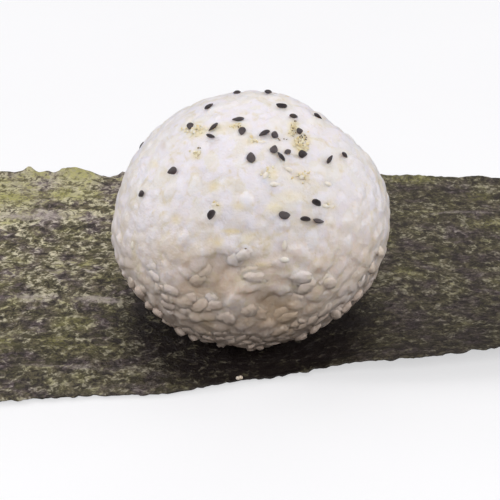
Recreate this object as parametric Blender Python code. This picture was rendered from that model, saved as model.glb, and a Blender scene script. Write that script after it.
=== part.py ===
"""A seeded rice ball resting on its strip of dried seaweed, modelled in Blender 4.5 in metres with +Z up.

The origin is the middle of the strip's outline on the surface that the strip lies on. +X runs along the
strip and +Y runs from the ball's front to its back. All sizes are written in millimetres and turned into
metres where a mesh is made.
"""

import math
import random

import bmesh
import bpy
import numpy as np
from mathutils import Matrix, Vector
from mathutils.bvhtree import BVHTree

MM = 0.001

# The rice ball: its size before pressing, how round its sides are, and how much of its foot is pressed flat
BALL_WIDTH = 71.2
BALL_DEPTH = 69.0
BALL_HEIGHT = 63.6
BALL_ROUNDNESS = 1.95
BALL_LEAN_DEG = -8.0
BALL_SUNK = 3.0
BALL_X = 0.3
BALL_Y = -14.0

# Where the palms pressed the ball: bearing from the front towards +X, climb above level, distance from the middle
PRESSED_FLATS = (
    (128, 38, 30.0),
    (-128, 34, 33.6),
    (20, 75, 31.8),
    (180, -30, 32.6),
)
FLAT_BLEND = 2.6

# Swells, and hollows where rice came away: bearing, climb, height, half width and half height of the place
SWELLS_AND_HOLLOWS = (
    (-9, 11, -1.5, 5.0, 3.4),
    (-19, 0, -1.7, 5.4, 3.8),
    (10, -5, -2.1, 5.6, 4.4),
    (-5, -5, 0.8, 3.2, 3.4),
    (-4, 26, -0.5, 6.0, 3.0),
    (104, 20, -0.7, 9.0, 9.0),
    (70, -27, 0.7, 9.0, 9.0),
    (-95, 9, -0.6, 9.0, 8.0),
    (-82, -12, 0.8, 8.0, 8.0),
)

# The grains of cooked short rice: the ones packed in the skin, as bumps, and the ones that stand out of it
GRAIN_LENGTH = 6.4
GRAIN_WIDTH = 3.4
GRAIN_THICKNESS = 2.8
PACKED_GRAINS = 570
PACKED_RISE = 0.75
PACKED_DIP = 0.5
PACKED_TILT = 0.25
SMOOTHER_TOP = 0.45
SHORTEST_GROOVE = 0.45
SETTLING_STEPS = 40
STANDING_GRAINS = 26
STANDING_LOWEST = -0.8

# Grains that stand out clearly in the 500 x 500 photograph: place there, and lean turned right from upright
GRAINS_SEEN = (
    (337, 311, 160), (322, 319, 60), (212, 297, 30), (231, 307, 95), (256, 284, 85), (152, 293, 10),
    (168, 312, 60), (196, 329, 110), (222, 338, 80), (262, 341, 95), (290, 330, 70), (305, 318, 45),
    (247, 205, 0), (222, 240, 90), (270, 246, 100), (352, 287, 140), (136, 268, 15), (120, 244, 170),
)

# The black sesame seeds, each by its place in the photograph and the lean of its point
SEED_LENGTH = 3.3
SEED_WIDTH = 2.0
SEED_THICKNESS = 1.1
SEEDS_SEEN = (
    (237, 91, 100), (268, 92, -50), (207, 106, 60), (281, 107, -90), (190, 126, 190), (213, 127, 215),
    (211, 136, -60), (238, 119, 250), (242, 131, 195), (264, 133, 225), (275, 135, 150), (294, 116, 90),
    (299, 131, 70), (274, 149, 20), (281, 156, -20), (288, 152, 170), (303, 154, 80), (251, 157, 0),
    (330, 159, 35), (346, 154, -55), (318, 115, -50), (172, 171, -100), (141, 194, 60), (211, 215, 200),
    (285, 215, 80), (306, 219, -70), (319, 221, 95), (317, 203, -45),
)
FAR_SEEDS = 10
FAR_SEED_CLIMB = (25, 78)

# The viewpoint of the photograph, which places what it shows
PHOTO_MIDDLE = 250
PHOTO_FOCAL = 934.0
EYE = Vector((0.0, -218.0, 158.0))
LOOK_DOWN_DEG = 34.2

# The strip of seaweed: half a sheet, cut a little askew, with a front edge that steps back near its middle
STRIP_LENGTH = 190.0
FAR_EDGE = 54.0
FRONT_EDGE = -46.2
FRONT_SLOPE = 0.066
FRONT_STEP = 1.7
FRONT_STEP_X = -12.0
FRONT_STEP_LENGTH = 10.0
EDGE_WANDER = 0.5
STRIP_THICKNESS = 0.4
STRIP_CELLS = (30, 16)
REST_CLEARANCE = 0.3

# How the strip curls: its far edge lifts most at the left, its front edge lifts from the ball to the right end
FAR_LIFT = (4.6, 1.6)
FRONT_LIFT = 9.5
FRONT_LIFT_FROM_X = -16.0
LEFT_FRONT_LIFT = 0.9
CURL_REACH = 34.0
WAVE_HEIGHT = 0.8
WAVE_LENGTH = 37.0
PRESSED_RADIUS = 21.0
PRESSED_FADE = 19.0

RANDOM_SEED = 12
RICE_COLOUR = (0.84, 0.80, 0.75, 1.0)
SEAWEED_COLOUR = (0.045, 0.048, 0.028, 1.0)


def clear_scene():
    for obj in list(bpy.data.objects):
        bpy.data.objects.remove(obj)


def material(name, colour, roughness):
    made = bpy.data.materials.new(name)
    made.use_nodes = True
    shader = made.node_tree.nodes["Principled BSDF"]
    shader.inputs["Base Color"].default_value = colour
    shader.inputs["Roughness"].default_value = roughness
    return made


def direction(bearing, climb):
    """The unit vector at a bearing from the ball's front towards +X and a climb above level, in degrees."""
    b, c = math.radians(bearing), math.radians(climb)
    return np.array((math.sin(b) * math.cos(c), -math.cos(b) * math.cos(c), math.sin(c)))


def ball_radius(ways):
    """Distance in millimetres from the ball's middle to its smooth form, along each unit vector in ways."""
    lean = math.radians(BALL_LEAN_DEG)
    across = ways[:, 0] * math.cos(lean) - ways[:, 2] * math.sin(lean)
    upward = ways[:, 0] * math.sin(lean) + ways[:, 2] * math.cos(lean)
    girth = np.hypot(across / (BALL_WIDTH / 2), ways[:, 1] / (BALL_DEPTH / 2))
    rise = np.abs(upward) / (BALL_HEIGHT / 2)
    radius = (girth**BALL_ROUNDNESS + rise**BALL_ROUNDNESS) ** (-1 / BALL_ROUNDNESS)
    for bearing, climb, distance in PRESSED_FLATS:
        plane = distance / np.maximum(ways @ direction(bearing, climb), 0.2)
        share = np.clip(0.5 + 0.5 * (plane - radius) / FLAT_BLEND, 0, 1)
        radius = plane * (1 - share) + radius * share - FLAT_BLEND * share * (1 - share)
    for bearing, climb, height, half_width, half_height in SWELLS_AND_HOLLOWS:
        middle = direction(bearing, climb)
        aside = np.cross(middle, (0, 0, 1))
        aside /= np.linalg.norm(aside)
        above = np.cross(aside, middle)
        u = radius * (ways @ aside) / half_width
        v = radius * (ways @ above) / half_height
        near_side = ways @ middle > 0
        radius = radius + near_side * height * np.exp(-(u**2 + v**2))
    return radius


def rest_height():
    """Height of the ball's middle above its flat foot."""
    return BALL_HEIGHT / 2 - BALL_SUNK


def ball_middle():
    """The ball's middle in metres."""
    return Vector((BALL_X, BALL_Y, STRIP_THICKNESS + REST_CLEARANCE + rest_height())) * MM


def unit(rows):
    return rows / np.linalg.norm(rows, axis=1, keepdims=True)


def settled_grains(draw):
    """Middles and headings of the packed grains as unit vectors, pushed apart until they lie evenly."""
    turn = math.pi * (1 + math.sqrt(5))
    ways, along = [], []
    for i in range(PACKED_GRAINS):
        z = 1 - 2 * (i + 0.5) / PACKED_GRAINS
        ring = math.sqrt(1 - z * z)
        ways.append((ring * math.cos(turn * i), ring * math.sin(turn * i), z))
        along.append([draw.gauss(0, 1) for _ in range(3)])
    ways, along = np.array(ways), np.array(along)
    half = GRAIN_LENGTH / 2 / (BALL_WIDTH + BALL_HEIGHT)
    reach = 1.3 * math.sqrt(4 * math.pi / (2 * PACKED_GRAINS))
    grain = np.tile(np.arange(PACKED_GRAINS), 2)
    for _ in range(SETTLING_STEPS):
        along = unit(along - (along * ways).sum(axis=1, keepdims=True) * ways)
        ends = unit(np.concatenate((ways + half * along, ways - half * along)))
        apart = ends[:, None, :] - ends[None, :, :]
        distance = np.linalg.norm(apart, axis=2)
        distance[grain[:, None] == grain[None, :]] = reach
        strength = np.maximum(reach - distance, 0) / reach
        push = (apart / distance[:, :, None] * strength[:, :, None]).sum(axis=1)
        first, second = np.split(push, 2)
        ways = unit(ways + 0.16 * reach * (first + second))
        along = along + 0.5 * (first - second)
    along = unit(along - (along * ways).sum(axis=1, keepdims=True) * ways)
    return ways, along, half


def packed_core(draw):
    """The pressed mass of rice: one closed skin with a ridged bump for each grain and a groove all round it."""
    ways, along, half = settled_grains(draw)
    ends = unit(np.concatenate((ways + half * along, ways - half * along)))
    hull = bmesh.new()
    for end in ends:
        hull.verts.new(end)
    bmesh.ops.convex_hull(hull, input=hull.verts)
    bmesh.ops.recalc_face_normals(hull, faces=hull.faces)
    hull.verts.index_update()
    hull.faces.index_update()
    grooves = unit(np.array([face.normal for face in hull.faces]))

    corner_of = list(range(len(grooves)))
    for edge in hull.edges:
        one, other = sorted(corner_of[face.index] for face in edge.link_faces)
        if np.linalg.norm(grooves[one] - grooves[other]) * BALL_WIDTH / 2 < SHORTEST_GROOVE:
            corner_of = [one if corner == other else corner for corner in corner_of]

    pressed = 1 - SMOOTHER_TOP * np.clip(ways[:, 2] + 0.2, 0, 1)
    rise = PACKED_RISE * pressed * np.array([draw.uniform(0.6, 1.4) for _ in ways])
    tilt = PACKED_TILT * np.array([draw.uniform(-1, 1) for _ in ways])
    dip = PACKED_DIP * np.array([draw.uniform(0.6, 1.3) for _ in grooves])
    places = np.concatenate((ends, grooves))
    radius = ball_radius(places) + np.concatenate((rise + tilt, rise - tilt, -dip))
    foot = rest_height() / np.maximum(-places[:, 2], 1e-6)
    radius = np.minimum(radius, foot)

    mesh = bmesh.new()
    verts = [mesh.verts.new(Vector(way) * r * MM + ball_middle()) for way, r in zip(places, radius)]
    for edge in hull.edges:
        one, other = (vert.index for vert in edge.verts)
        left, right = (len(ends) + corner_of[face.index] for face in edge.link_faces)
        ridge = np.cross(places[one], places[other])
        ridge_between = (ridge @ places[left]) * (ridge @ places[right]) < 0
        if one % PACKED_GRAINS == other % PACKED_GRAINS and ridge_between:
            triangles = ((one, other, left), (one, other, right))
        else:
            triangles = ((one, left, right), (other, left, right))
        for corners in triangles:
            if len(set(corners)) < 3:
                continue
            a, b, c = (places[i] for i in corners)
            outward = np.cross(b - a, c - a) @ a > 0
            mesh.faces.new([verts[i] for i in (corners if outward else corners[::-1])])
    hull.free()
    bmesh.ops.delete(mesh, geom=[vert for vert in mesh.verts if not vert.link_faces], context="VERTS")
    return mesh


def kernel(length, width, thickness, point):
    """A grain or seed along +X, with few sides: blunt at both ends, or drawn in towards +X by the share point."""
    mesh = bmesh.new()
    upright = Matrix.Rotation(math.radians(90), 4, "Y")
    bmesh.ops.create_uvsphere(mesh, u_segments=6, v_segments=4, radius=1.0, matrix=upright)
    for vert in mesh.verts:
        x, y, z = vert.co
        blunt = 1.14 if 0.3 < abs(x) < 0.9 else 1.0
        slim = blunt * (1 - point * max(x, 0)) * (1 + 0.15 * point * max(-x, 0))
        vert.co = Vector((x * length, y * width * slim, z * thickness * slim)) * MM / 2
    return mesh


def laid(mesh, place, outward, heading):
    """Lays a kernel at place with its flat side facing outward and its length on heading."""
    front = (heading - heading.dot(outward) * outward).normalized()
    side = outward.cross(front)
    turn = Matrix((front, side, outward)).transposed().to_4x4()
    mesh.transform(Matrix.Translation(place) @ turn)
    return mesh


def random_vector(draw):
    return Vector((draw.gauss(0, 1), draw.gauss(0, 1), draw.gauss(0, 1)))


def seen_on_skin(tree, across, down, lean):
    """Where a place in the photograph lies on the ball: the point, its outward way, and the heading of a lean."""
    pitch = math.radians(LOOK_DOWN_DEG)
    ahead = Vector((0, math.cos(pitch), -math.sin(pitch)))
    up = Vector((0, math.sin(pitch), math.cos(pitch)))
    right = Vector((1, 0, 0))
    sight = PHOTO_FOCAL * ahead + (across - PHOTO_MIDDLE) * right - (down - PHOTO_MIDDLE) * up
    sight.normalize()
    place = tree.ray_cast(EYE * MM, sight)[0]
    if place is None:
        passing = EYE * MM + sight * (ball_middle() - EYE * MM).dot(sight)
        place = tree.find_nearest(passing)[0]
    outward = (place - ball_middle()).normalized()
    turn = math.radians(lean)
    drawn = math.sin(turn) * right + math.cos(turn) * up
    slant = min(sight.dot(outward), -0.25)
    return place, outward, drawn - sight * drawn.dot(outward) / slant


def skin_place(tree, way):
    return tree.ray_cast(ball_middle() + way * BALL_WIDTH * MM, -way)[0]


def standing_grain(place, outward, heading, draw):
    size = draw.uniform(0.88, 1.06)
    grain = kernel(GRAIN_LENGTH * size, GRAIN_WIDTH * size, GRAIN_THICKNESS * size, 0.12)
    return laid(grain, place - 0.2 * MM * outward, outward, heading)


def standing_grains(tree, draw):
    """Grains that stand out of the skin: the ones seen, then more, most of them low where nothing pressed."""
    for across, down, lean in GRAINS_SEEN:
        yield standing_grain(*seen_on_skin(tree, across, down, lean), draw)
    made = 0
    while made < STANDING_GRAINS:
        way = random_vector(draw).normalized()
        low_enough = way.z < draw.gauss(-0.1, 0.3)
        seen_front = way.y < -0.2 and way.x > -0.9
        if way.z < STANDING_LOWEST or not low_enough or seen_front and draw.random() < 0.6:
            continue
        made += 1
        yield standing_grain(skin_place(tree, way), way, random_vector(draw), draw)


def black_seeds(tree, draw):
    """Sesame seeds where the photograph shows them, and more over the far side that it doesn't show."""
    for across, down, lean in SEEDS_SEEN:
        yield sesame_seed(*seen_on_skin(tree, across, down, lean), draw)
    for _ in range(FAR_SEEDS):
        way = Vector(direction(draw.uniform(100, 260), draw.uniform(*FAR_SEED_CLIMB)))
        yield sesame_seed(skin_place(tree, way), way, random_vector(draw), draw)


def sesame_seed(place, outward, heading, draw):
    size = draw.uniform(0.92, 1.06)
    seed = kernel(SEED_LENGTH * size, SEED_WIDTH * size, SEED_THICKNESS, 0.5)
    return laid(seed, place + 0.15 * MM * outward, outward, heading)


def object_of(mesh, name, surface=None):
    data = bpy.data.meshes.new(name)
    mesh.to_mesh(data)
    mesh.free()
    obj = bpy.data.objects.new(name, data)
    bpy.context.scene.collection.objects.link(obj)
    if surface:
        data.materials.append(surface)
    return obj


def fuse(body, pieces):
    """Joins loose pieces to the body with one union, and removes them."""
    group = bpy.data.collections.new("pieces")
    bpy.context.scene.collection.children.link(group)
    for number, piece in enumerate(pieces):
        loose = object_of(piece, f"piece_{number}")
        bpy.context.scene.collection.objects.unlink(loose)
        group.objects.link(loose)
    union = body.modifiers.new("Fused grains and seeds", "BOOLEAN")
    union.operation = "UNION"
    union.operand_type = "COLLECTION"
    union.collection = group
    union.solver = "EXACT"
    bpy.context.view_layer.objects.active = body
    bpy.ops.object.modifier_apply(modifier=union.name)
    for loose in list(group.objects):
        bpy.data.objects.remove(loose)
    bpy.data.collections.remove(group)


def keep_outer_skin(body):
    """Fills the hollows that grains seal off between them, by removing every skin but the largest."""
    mesh = bmesh.new()
    mesh.from_mesh(body.data)
    mesh.verts.ensure_lookup_table()
    skin_of = [None] * len(mesh.verts)
    sizes = []
    for first in range(len(mesh.verts)):
        if skin_of[first] is not None:
            continue
        front, skin_of[first] = [first], len(sizes)
        sizes.append(0)
        while front:
            vert = mesh.verts[front.pop()]
            sizes[-1] += 1
            for edge in vert.link_edges:
                other = edge.other_vert(vert).index
                if skin_of[other] is None:
                    skin_of[other] = skin_of[first]
                    front.append(other)
    largest = sizes.index(max(sizes))
    inner = [vert for vert in mesh.verts if skin_of[vert.index] != largest]
    bmesh.ops.delete(mesh, geom=inner, context="VERTS")
    mesh.to_mesh(body.data)
    mesh.free()


def make_rice_ball():
    draw = random.Random(RANDOM_SEED)
    core = packed_core(draw)
    tree = BVHTree.FromBMesh(core)
    pieces = [*standing_grains(tree, draw), *black_seeds(tree, draw)]
    body = object_of(core, "rice_ball", material("rice", RICE_COLOUR, 0.5))
    fuse(body, pieces)
    keep_outer_skin(body)
    return body


def strip_edges(x):
    """The y of the strip's front and far edge at x, in millimetres."""
    front = FRONT_EDGE + FRONT_SLOPE * x + FRONT_STEP * math.tanh((x - FRONT_STEP_X) / FRONT_STEP_LENGTH)
    front += EDGE_WANDER * math.sin(x / 9.0)
    far = FAR_EDGE + EDGE_WANDER * math.sin(x / 13.0) * math.cos(x / 31.0)
    return front, far


def smooth_step(share):
    share = min(1.0, max(0.0, share))
    return share * share * (3 - 2 * share)


def strip_height(x, y):
    """Height of the strip's underside: flat where the ball presses it down, wavy and curled around that."""
    front, far = strip_edges(x)
    along = x / STRIP_LENGTH + 0.5
    at_far_edge = FAR_LIFT[0] + (FAR_LIFT[1] - FAR_LIFT[0]) * along
    rising = max(0.0, (x - FRONT_LIFT_FROM_X) / (STRIP_LENGTH / 2 - FRONT_LIFT_FROM_X))
    at_front_edge = FRONT_LIFT * rising**0.8 + LEFT_FRONT_LIFT * smooth_step(1 - 2 * along)
    lift = at_far_edge * max(0.0, 1 - (far - y) / CURL_REACH) ** 1.6
    lift += at_front_edge * max(0.0, 1 - (y - front) / CURL_REACH) ** 1.4
    lift += WAVE_HEIGHT * (1 + math.cos(2 * math.pi * (y - 34 + 5 * along) / WAVE_LENGTH)) / 2
    from_ball = math.hypot(x - BALL_X, y - BALL_Y) - PRESSED_RADIUS
    return lift * smooth_step(from_ball / PRESSED_FADE)


def make_strip():
    """A thin wavy sheet: a grid of cells on top and the same grid below, with a rim between them."""
    along, across = STRIP_CELLS
    mesh = bmesh.new()
    below, above = [], []
    for rows, lift in ((below, 0.0), (above, STRIP_THICKNESS)):
        for j in range(across + 1):
            row = []
            for i in range(along + 1):
                x = STRIP_LENGTH * (i / along - 0.5)
                front, far = strip_edges(x)
                y = front + (far - front) * j / across
                row.append(mesh.verts.new(Vector((x, y, strip_height(x, y) + lift)) * MM))
            rows.append(row)
    for rows, upward in ((below, False), (above, True)):
        for j in range(across):
            for i in range(along):
                a, b, c, d = rows[j][i], rows[j][i + 1], rows[j + 1][i + 1], rows[j + 1][i]
                for face in ((a, b, c), (a, c, d)):
                    mesh.faces.new(face if upward else face[::-1])
    for i in range(along):
        mesh.faces.new((below[0][i], below[0][i + 1], above[0][i + 1], above[0][i]))
        mesh.faces.new((above[-1][i], above[-1][i + 1], below[-1][i + 1], below[-1][i]))
    for j in range(across):
        mesh.faces.new((above[j][0], above[j + 1][0], below[j + 1][0], below[j][0]))
        mesh.faces.new((below[j][-1], below[j + 1][-1], above[j + 1][-1], above[j][-1]))
    return object_of(mesh, "nori_strip", material("seaweed", SEAWEED_COLOUR, 0.6))


def main():
    clear_scene()
    ball = make_rice_ball()
    strip = make_strip()
    corners = np.array([vert.co for vert in strip.data.vertices])
    middle = (corners.min(axis=0) + corners.max(axis=0)) / 2
    for obj in (ball, strip):
        obj.data.transform(Matrix.Translation((-middle[0], -middle[1], 0.0)))
    print("moved to the origin by", -middle[:2] / MM, "mm")
    print("rice ball faces", len(ball.data.polygons), "strip faces", len(strip.data.polygons))


main()
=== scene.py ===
# %% [markdown]
# # A seeded rice ball on its strip of nori
#
# The real thing is a ball of warm, sticky rice pressed between two wet palms, sprinkled with sesame and set
# down on a wide strip of dried seaweed. The packed model gives its plain solids. Here each one is dressed:
# the rice becomes single grains over a core, and the strip becomes a rough, fibrous leaf.
#
# The packed model comes first, because every piece has to sit where its solids are.

import math
import random

import bpy
import numpy as np
from mathutils import Matrix, Vector, noise
from mathutils.bvhtree import BVHTree
from mathutils.kdtree import KDTree


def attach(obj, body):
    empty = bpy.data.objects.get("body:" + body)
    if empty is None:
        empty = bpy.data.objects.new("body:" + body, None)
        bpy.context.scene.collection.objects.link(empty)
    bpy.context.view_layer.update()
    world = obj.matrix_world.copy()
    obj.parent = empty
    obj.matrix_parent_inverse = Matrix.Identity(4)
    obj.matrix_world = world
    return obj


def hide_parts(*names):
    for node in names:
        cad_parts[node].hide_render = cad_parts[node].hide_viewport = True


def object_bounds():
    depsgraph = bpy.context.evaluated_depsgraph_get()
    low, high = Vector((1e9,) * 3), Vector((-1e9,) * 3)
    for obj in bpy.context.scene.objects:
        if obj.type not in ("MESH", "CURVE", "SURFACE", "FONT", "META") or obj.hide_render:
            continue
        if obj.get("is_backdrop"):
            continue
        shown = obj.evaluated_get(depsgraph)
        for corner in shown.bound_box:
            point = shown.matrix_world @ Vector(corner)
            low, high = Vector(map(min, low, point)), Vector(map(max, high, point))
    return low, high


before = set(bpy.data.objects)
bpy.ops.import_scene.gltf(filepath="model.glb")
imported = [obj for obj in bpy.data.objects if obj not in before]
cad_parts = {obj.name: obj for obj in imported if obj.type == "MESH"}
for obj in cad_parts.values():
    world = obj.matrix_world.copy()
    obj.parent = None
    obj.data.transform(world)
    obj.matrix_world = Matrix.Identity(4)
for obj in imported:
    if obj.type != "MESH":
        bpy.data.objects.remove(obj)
cad_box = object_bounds()
MM = 0.001
print("solids:", sorted(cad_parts), "box", [[round(c / MM, 1) for c in corner] for corner in cad_box])

# %% [markdown]
# ## The camera
#
# The camera stands where the photograph was taken from: about 20 cm in front of the ball's middle and 16 cm
# up. Its place and its lens were worked out once, from straight lines in the picture and the size of a sesame
# seed. Blender can aim a camera with a Track To constraint, but a fixed tilt is simpler and stays as it is.

# %% The camera
EYE = (0.0, -218.354, 158.0)
LOOK_DOWN_DEG = 34.2
FOCAL_PIXELS = 934.0
PICTURE_PIXELS = 500
SENSOR_WIDTH = 36.0

bpy.ops.object.camera_add(
    location=Vector(EYE) * MM, rotation=(math.radians(90 - LOOK_DOWN_DEG), 0.0, 0.0)
)
camera = bpy.context.object
camera.data.sensor_width = SENSOR_WIDTH
camera.data.lens = SENSOR_WIDTH * FOCAL_PIXELS / PICTURE_PIXELS
camera.data.clip_start = 0.01
bpy.context.scene.camera = camera
print("camera lens", round(camera.data.lens, 2), "mm")

# %% [markdown]
# ## The studio
#
# A food picture like this one is lit by big soft boxes. The strongest stands high in front and shapes the
# grains, one overhead and a little behind brightens the top, and one at each side keeps the flanks from going
# dark. The world adds a very little. Area lights are used because their size, and not their number, is what
# makes the shadows soft.

# %% The studio
WORLD_STRENGTH = 0.07
WORLD_AS_SEEN = 0.93
SOFT_BOXES = (
    ("Overhead box", (-0.05, 0.62, 1.05), (0.0, 0.0, 0.0), 1.10, 4.5, (1.0, 0.985, 1.0)),
    ("Left box", (-1.00, 0.15, 0.52), (0.0, 0.0, 0.03), 0.70, 5.9, (0.955, 0.96, 1.0)),
    ("Right box", (1.00, 0.10, 0.52), (0.0, 0.0, 0.03), 0.70, 5.7, (0.975, 0.975, 1.0)),
    ("High front box", (0.00, -0.86, 0.92), (0.0, -0.01, 0.03), 0.70, 9.0, (1.0, 0.98, 0.985)),
)

world = bpy.data.worlds.new("Studio air")
world.use_nodes = True
air = world.node_tree.nodes["Background"]
air.inputs["Color"].default_value = (1.0, 0.99, 0.985, 1.0)
sight = world.node_tree.nodes.new("ShaderNodeLightPath")
strength = world.node_tree.nodes.new("ShaderNodeMapRange")
strength.inputs["To Min"].default_value = WORLD_STRENGTH
strength.inputs["To Max"].default_value = WORLD_AS_SEEN
world.node_tree.links.new(sight.outputs["Is Camera Ray"], strength.inputs["Value"])
world.node_tree.links.new(strength.outputs["Result"], air.inputs["Strength"])
bpy.context.scene.world = world
bpy.context.scene.view_settings.view_transform = "Standard"

for name, place, aim, size, power, colour in SOFT_BOXES:
    turn = (Vector(place) - Vector(aim)).to_track_quat("Z", "Y").to_euler()
    bpy.ops.object.light_add(type="AREA", radius=size, location=place, rotation=turn)
    box = bpy.context.object
    box.name = name
    box.data.size = size
    box.data.energy = power
    box.data.color = colour
print("soft boxes:", len(SOFT_BOXES))

# %% [markdown]
# ## Materials as sums
#
# A procedural material is a small calculation on each point of the surface. Wiring it by hand takes dozens
# of nodes, so a small class lets a socket be used in a plain sum, such as `1 - mask`, and adds the Math
# nodes itself. Every other node comes from one method.

# %% Materials as sums
class Wire:
    """One output socket of a shader node, which can be used in a sum."""

    def __init__(self, tree, socket):
        self.tree = tree
        self.socket = socket

    def sum_node(self, operation, *values):
        node = self.tree.nodes.new("ShaderNodeMath")
        node.operation = operation
        for slot, value in zip(node.inputs, values):
            connect(self.tree, slot, value)
        return Wire(self.tree, node.outputs[0])

    def __add__(self, other):
        return self.sum_node("ADD", self, other)

    def __sub__(self, other):
        return self.sum_node("SUBTRACT", self, other)

    def __rsub__(self, other):
        return self.sum_node("SUBTRACT", other, self)

    def __mul__(self, other):
        return self.sum_node("MULTIPLY", self, other)

    __radd__ = __add__
    __rmul__ = __mul__


def connect(tree, slot, value):
    if isinstance(value, Wire):
        tree.links.new(value.socket, slot)
    else:
        slot.default_value = value


print("a wire can be added, subtracted and multiplied")

# %% [markdown]
# ## One finish
#
# A finish is one material. Its constants go straight onto the shader, and what changes over the surface comes
# from noise at the piece's own places, which stays fixed to the piece wherever it is seen from. The few kinds
# of node that every finish needs get a method with a plain name each.

# %% One finish
class Finish:
    """One material, with the method that adds any node to it."""

    def __init__(self, name, **constants):
        self.material = bpy.data.materials.new(name)
        self.material.use_nodes = True
        self.tree = self.material.node_tree
        self.shader = self.tree.nodes["Principled BSDF"]
        self.feed(**constants)

    def feed(self, **sockets):
        for socket, value in sockets.items():
            connect(self.tree, self.shader.inputs[socket.replace("_", " ")], value)

    def node(self, kind, settings=None, inputs=None, output=0):
        made = self.tree.nodes.new(kind)
        for setting, value in (settings or {}).items():
            setattr(made, setting, value)
        for socket, value in (inputs or {}).items():
            connect(self.tree, made.inputs[socket], value)
        return Wire(self.tree, made.outputs[output])

    def blend(self, first, second, share):
        """The first colour where share is 0, and the second where it is 1."""
        settings = {"data_type": "RGBA", "clamp_factor": True}
        first = first if isinstance(first, Wire) else (*first, 1.0)
        second = second if isinstance(second, Wire) else (*second, 1.0)
        return self.node("ShaderNodeMix", settings, {0: share, 6: first, 7: second}, output=2)

    def places(self, stretch=(1.0, 1.0, 1.0)):
        """Each point's own place. A stretch below 1 draws a pattern out along that axis."""
        own = self.node("ShaderNodeTexCoord", output="Object")
        return self.node("ShaderNodeMapping", {}, {"Vector": own, "Scale": stretch})

    def grainy(self, places, size, detail=2.0, rough=0.5, swirl=0.0):
        """Noise from 0 to 1 whose blotches are about size millimetres across, curved by swirl."""
        inputs = {"Vector": places, "Scale": 1 / (size * MM), "Detail": detail, "Roughness": rough}
        return self.node("ShaderNodeTexNoise", {}, inputs | {"Distortion": swirl})

    def between(self, value, low, high):
        """A mask that rises smoothly from 0 at low to 1 at high."""
        settings = {"interpolation_type": "SMOOTHSTEP"}
        return self.node("ShaderNodeMapRange", settings, {"Value": value, "From Min": low, "From Max": high})

    def spots(self, places, size, low, high, detail=2.0, rough=0.5, swirl=0.0):
        """A mask of soft spots: the parts of grainy noise that rise from low to high."""
        return self.between(self.grainy(places, size, detail, rough, swirl), low, high)

    def own_value(self, name):
        """A value that the mesh keeps at its corners."""
        return self.node("ShaderNodeAttribute", {"attribute_name": name}, output="Fac")

    def bump(self, height, strength, distance):
        """A normal for a surface on which a height from 0 to 1 stands up to distance millimetres proud."""
        inputs = {"Height": height, "Strength": strength, "Distance": distance * MM}
        return self.node("ShaderNodeBump", {}, inputs)


print("what a finish can do:", [name for name in vars(Finish) if not name.startswith("_")])

# %% [markdown]
# ## Directions from the middle
#
# Nearly all that lies on the ball is placed by its direction from the ball's middle: a bearing, in degrees to
# the right of the front, and a climb, in degrees above level, as on a globe. NumPy works on whole arrays of
# them at once, because a Python loop over so many corners would be slow.

# %% Directions from the middle
def direction(bearing, climb):
    b, c = math.radians(bearing), math.radians(climb)
    return np.array((math.sin(b) * math.cos(c), -math.cos(b) * math.cos(c), math.sin(c)))


def bearing_of(ways):
    """Degrees that each way points round from the front, to the right if positive."""
    return np.degrees(np.arctan2(ways[:, 0], -ways[:, 1]))


def climb_of(ways):
    return np.degrees(np.arcsin(ways[:, 2]))


def unit(rows):
    return rows / np.linalg.norm(rows, axis=-1, keepdims=True)


def smooth_step(share):
    share = np.clip(share, 0, 1)
    return share * share * (3 - 2 * share)


print("the right flank lies towards", direction(90, 0).round(2).tolist())

# %% [markdown]
# ## The form of the ball
#
# The ball isn't a sphere. Palms flattened it in four places, it leans a little, and rice came away from the
# front in two hollows. These are the same named sizes that the solid was made from, so the dressed ball
# keeps the solid's form. A direction from the ball's middle goes in, and the distance to the skin comes out.

# %% The form of the ball
BALL_WIDTH = 71.2
BALL_DEPTH = 69.0
BALL_HEIGHT = 63.6
BALL_ROUNDNESS = 1.95
BALL_LEAN_DEG = -8.0
BALL_SUNK = 3.0
REST_HEIGHT = BALL_HEIGHT / 2 - BALL_SUNK
STRIP_THICKNESS = 0.4
REST_CLEARANCE = 0.3
OUTLINE_SHIFT = -0.354
BALL_MIDDLE = np.array((0.3, -14.0 + OUTLINE_SHIFT, STRIP_THICKNESS + REST_CLEARANCE + REST_HEIGHT))
PRESSED_FLATS = (
    (128, 38, 30.0),
    (-128, 34, 33.6),
    (20, 75, 31.8),
    (180, -30, 32.6),
)
FLAT_BLEND = 2.6
SWELLS_AND_HOLLOWS = (
    (-9, 11, -1.5, 5.0, 3.4),
    (-19, 0, -1.7, 5.4, 3.8),
    (10, -5, -2.1, 5.6, 4.4),
    (-5, -5, 0.8, 3.2, 3.4),
    (-4, 26, -0.5, 6.0, 3.0),
    (104, 20, -0.7, 9.0, 9.0),
    (70, -27, 0.7, 9.0, 9.0),
    (-95, 9, -0.6, 9.0, 8.0),
    (-82, -12, 0.8, 8.0, 8.0),
)


def bumps_at(ways, radius):
    """How far each way lies inside each swell or hollow, from 0 to 1, one column for each."""
    columns = []
    for bearing, climb, _, half_width, half_height in SWELLS_AND_HOLLOWS:
        middle = direction(bearing, climb)
        aside = unit(np.cross(middle, (0, 0, 1)))
        above = np.cross(aside, middle)
        u = radius * (ways @ aside) / half_width
        v = radius * (ways @ above) / half_height
        columns.append((ways @ middle > 0) * np.exp(-(u**2 + v**2)))
    return np.array(columns).T


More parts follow.
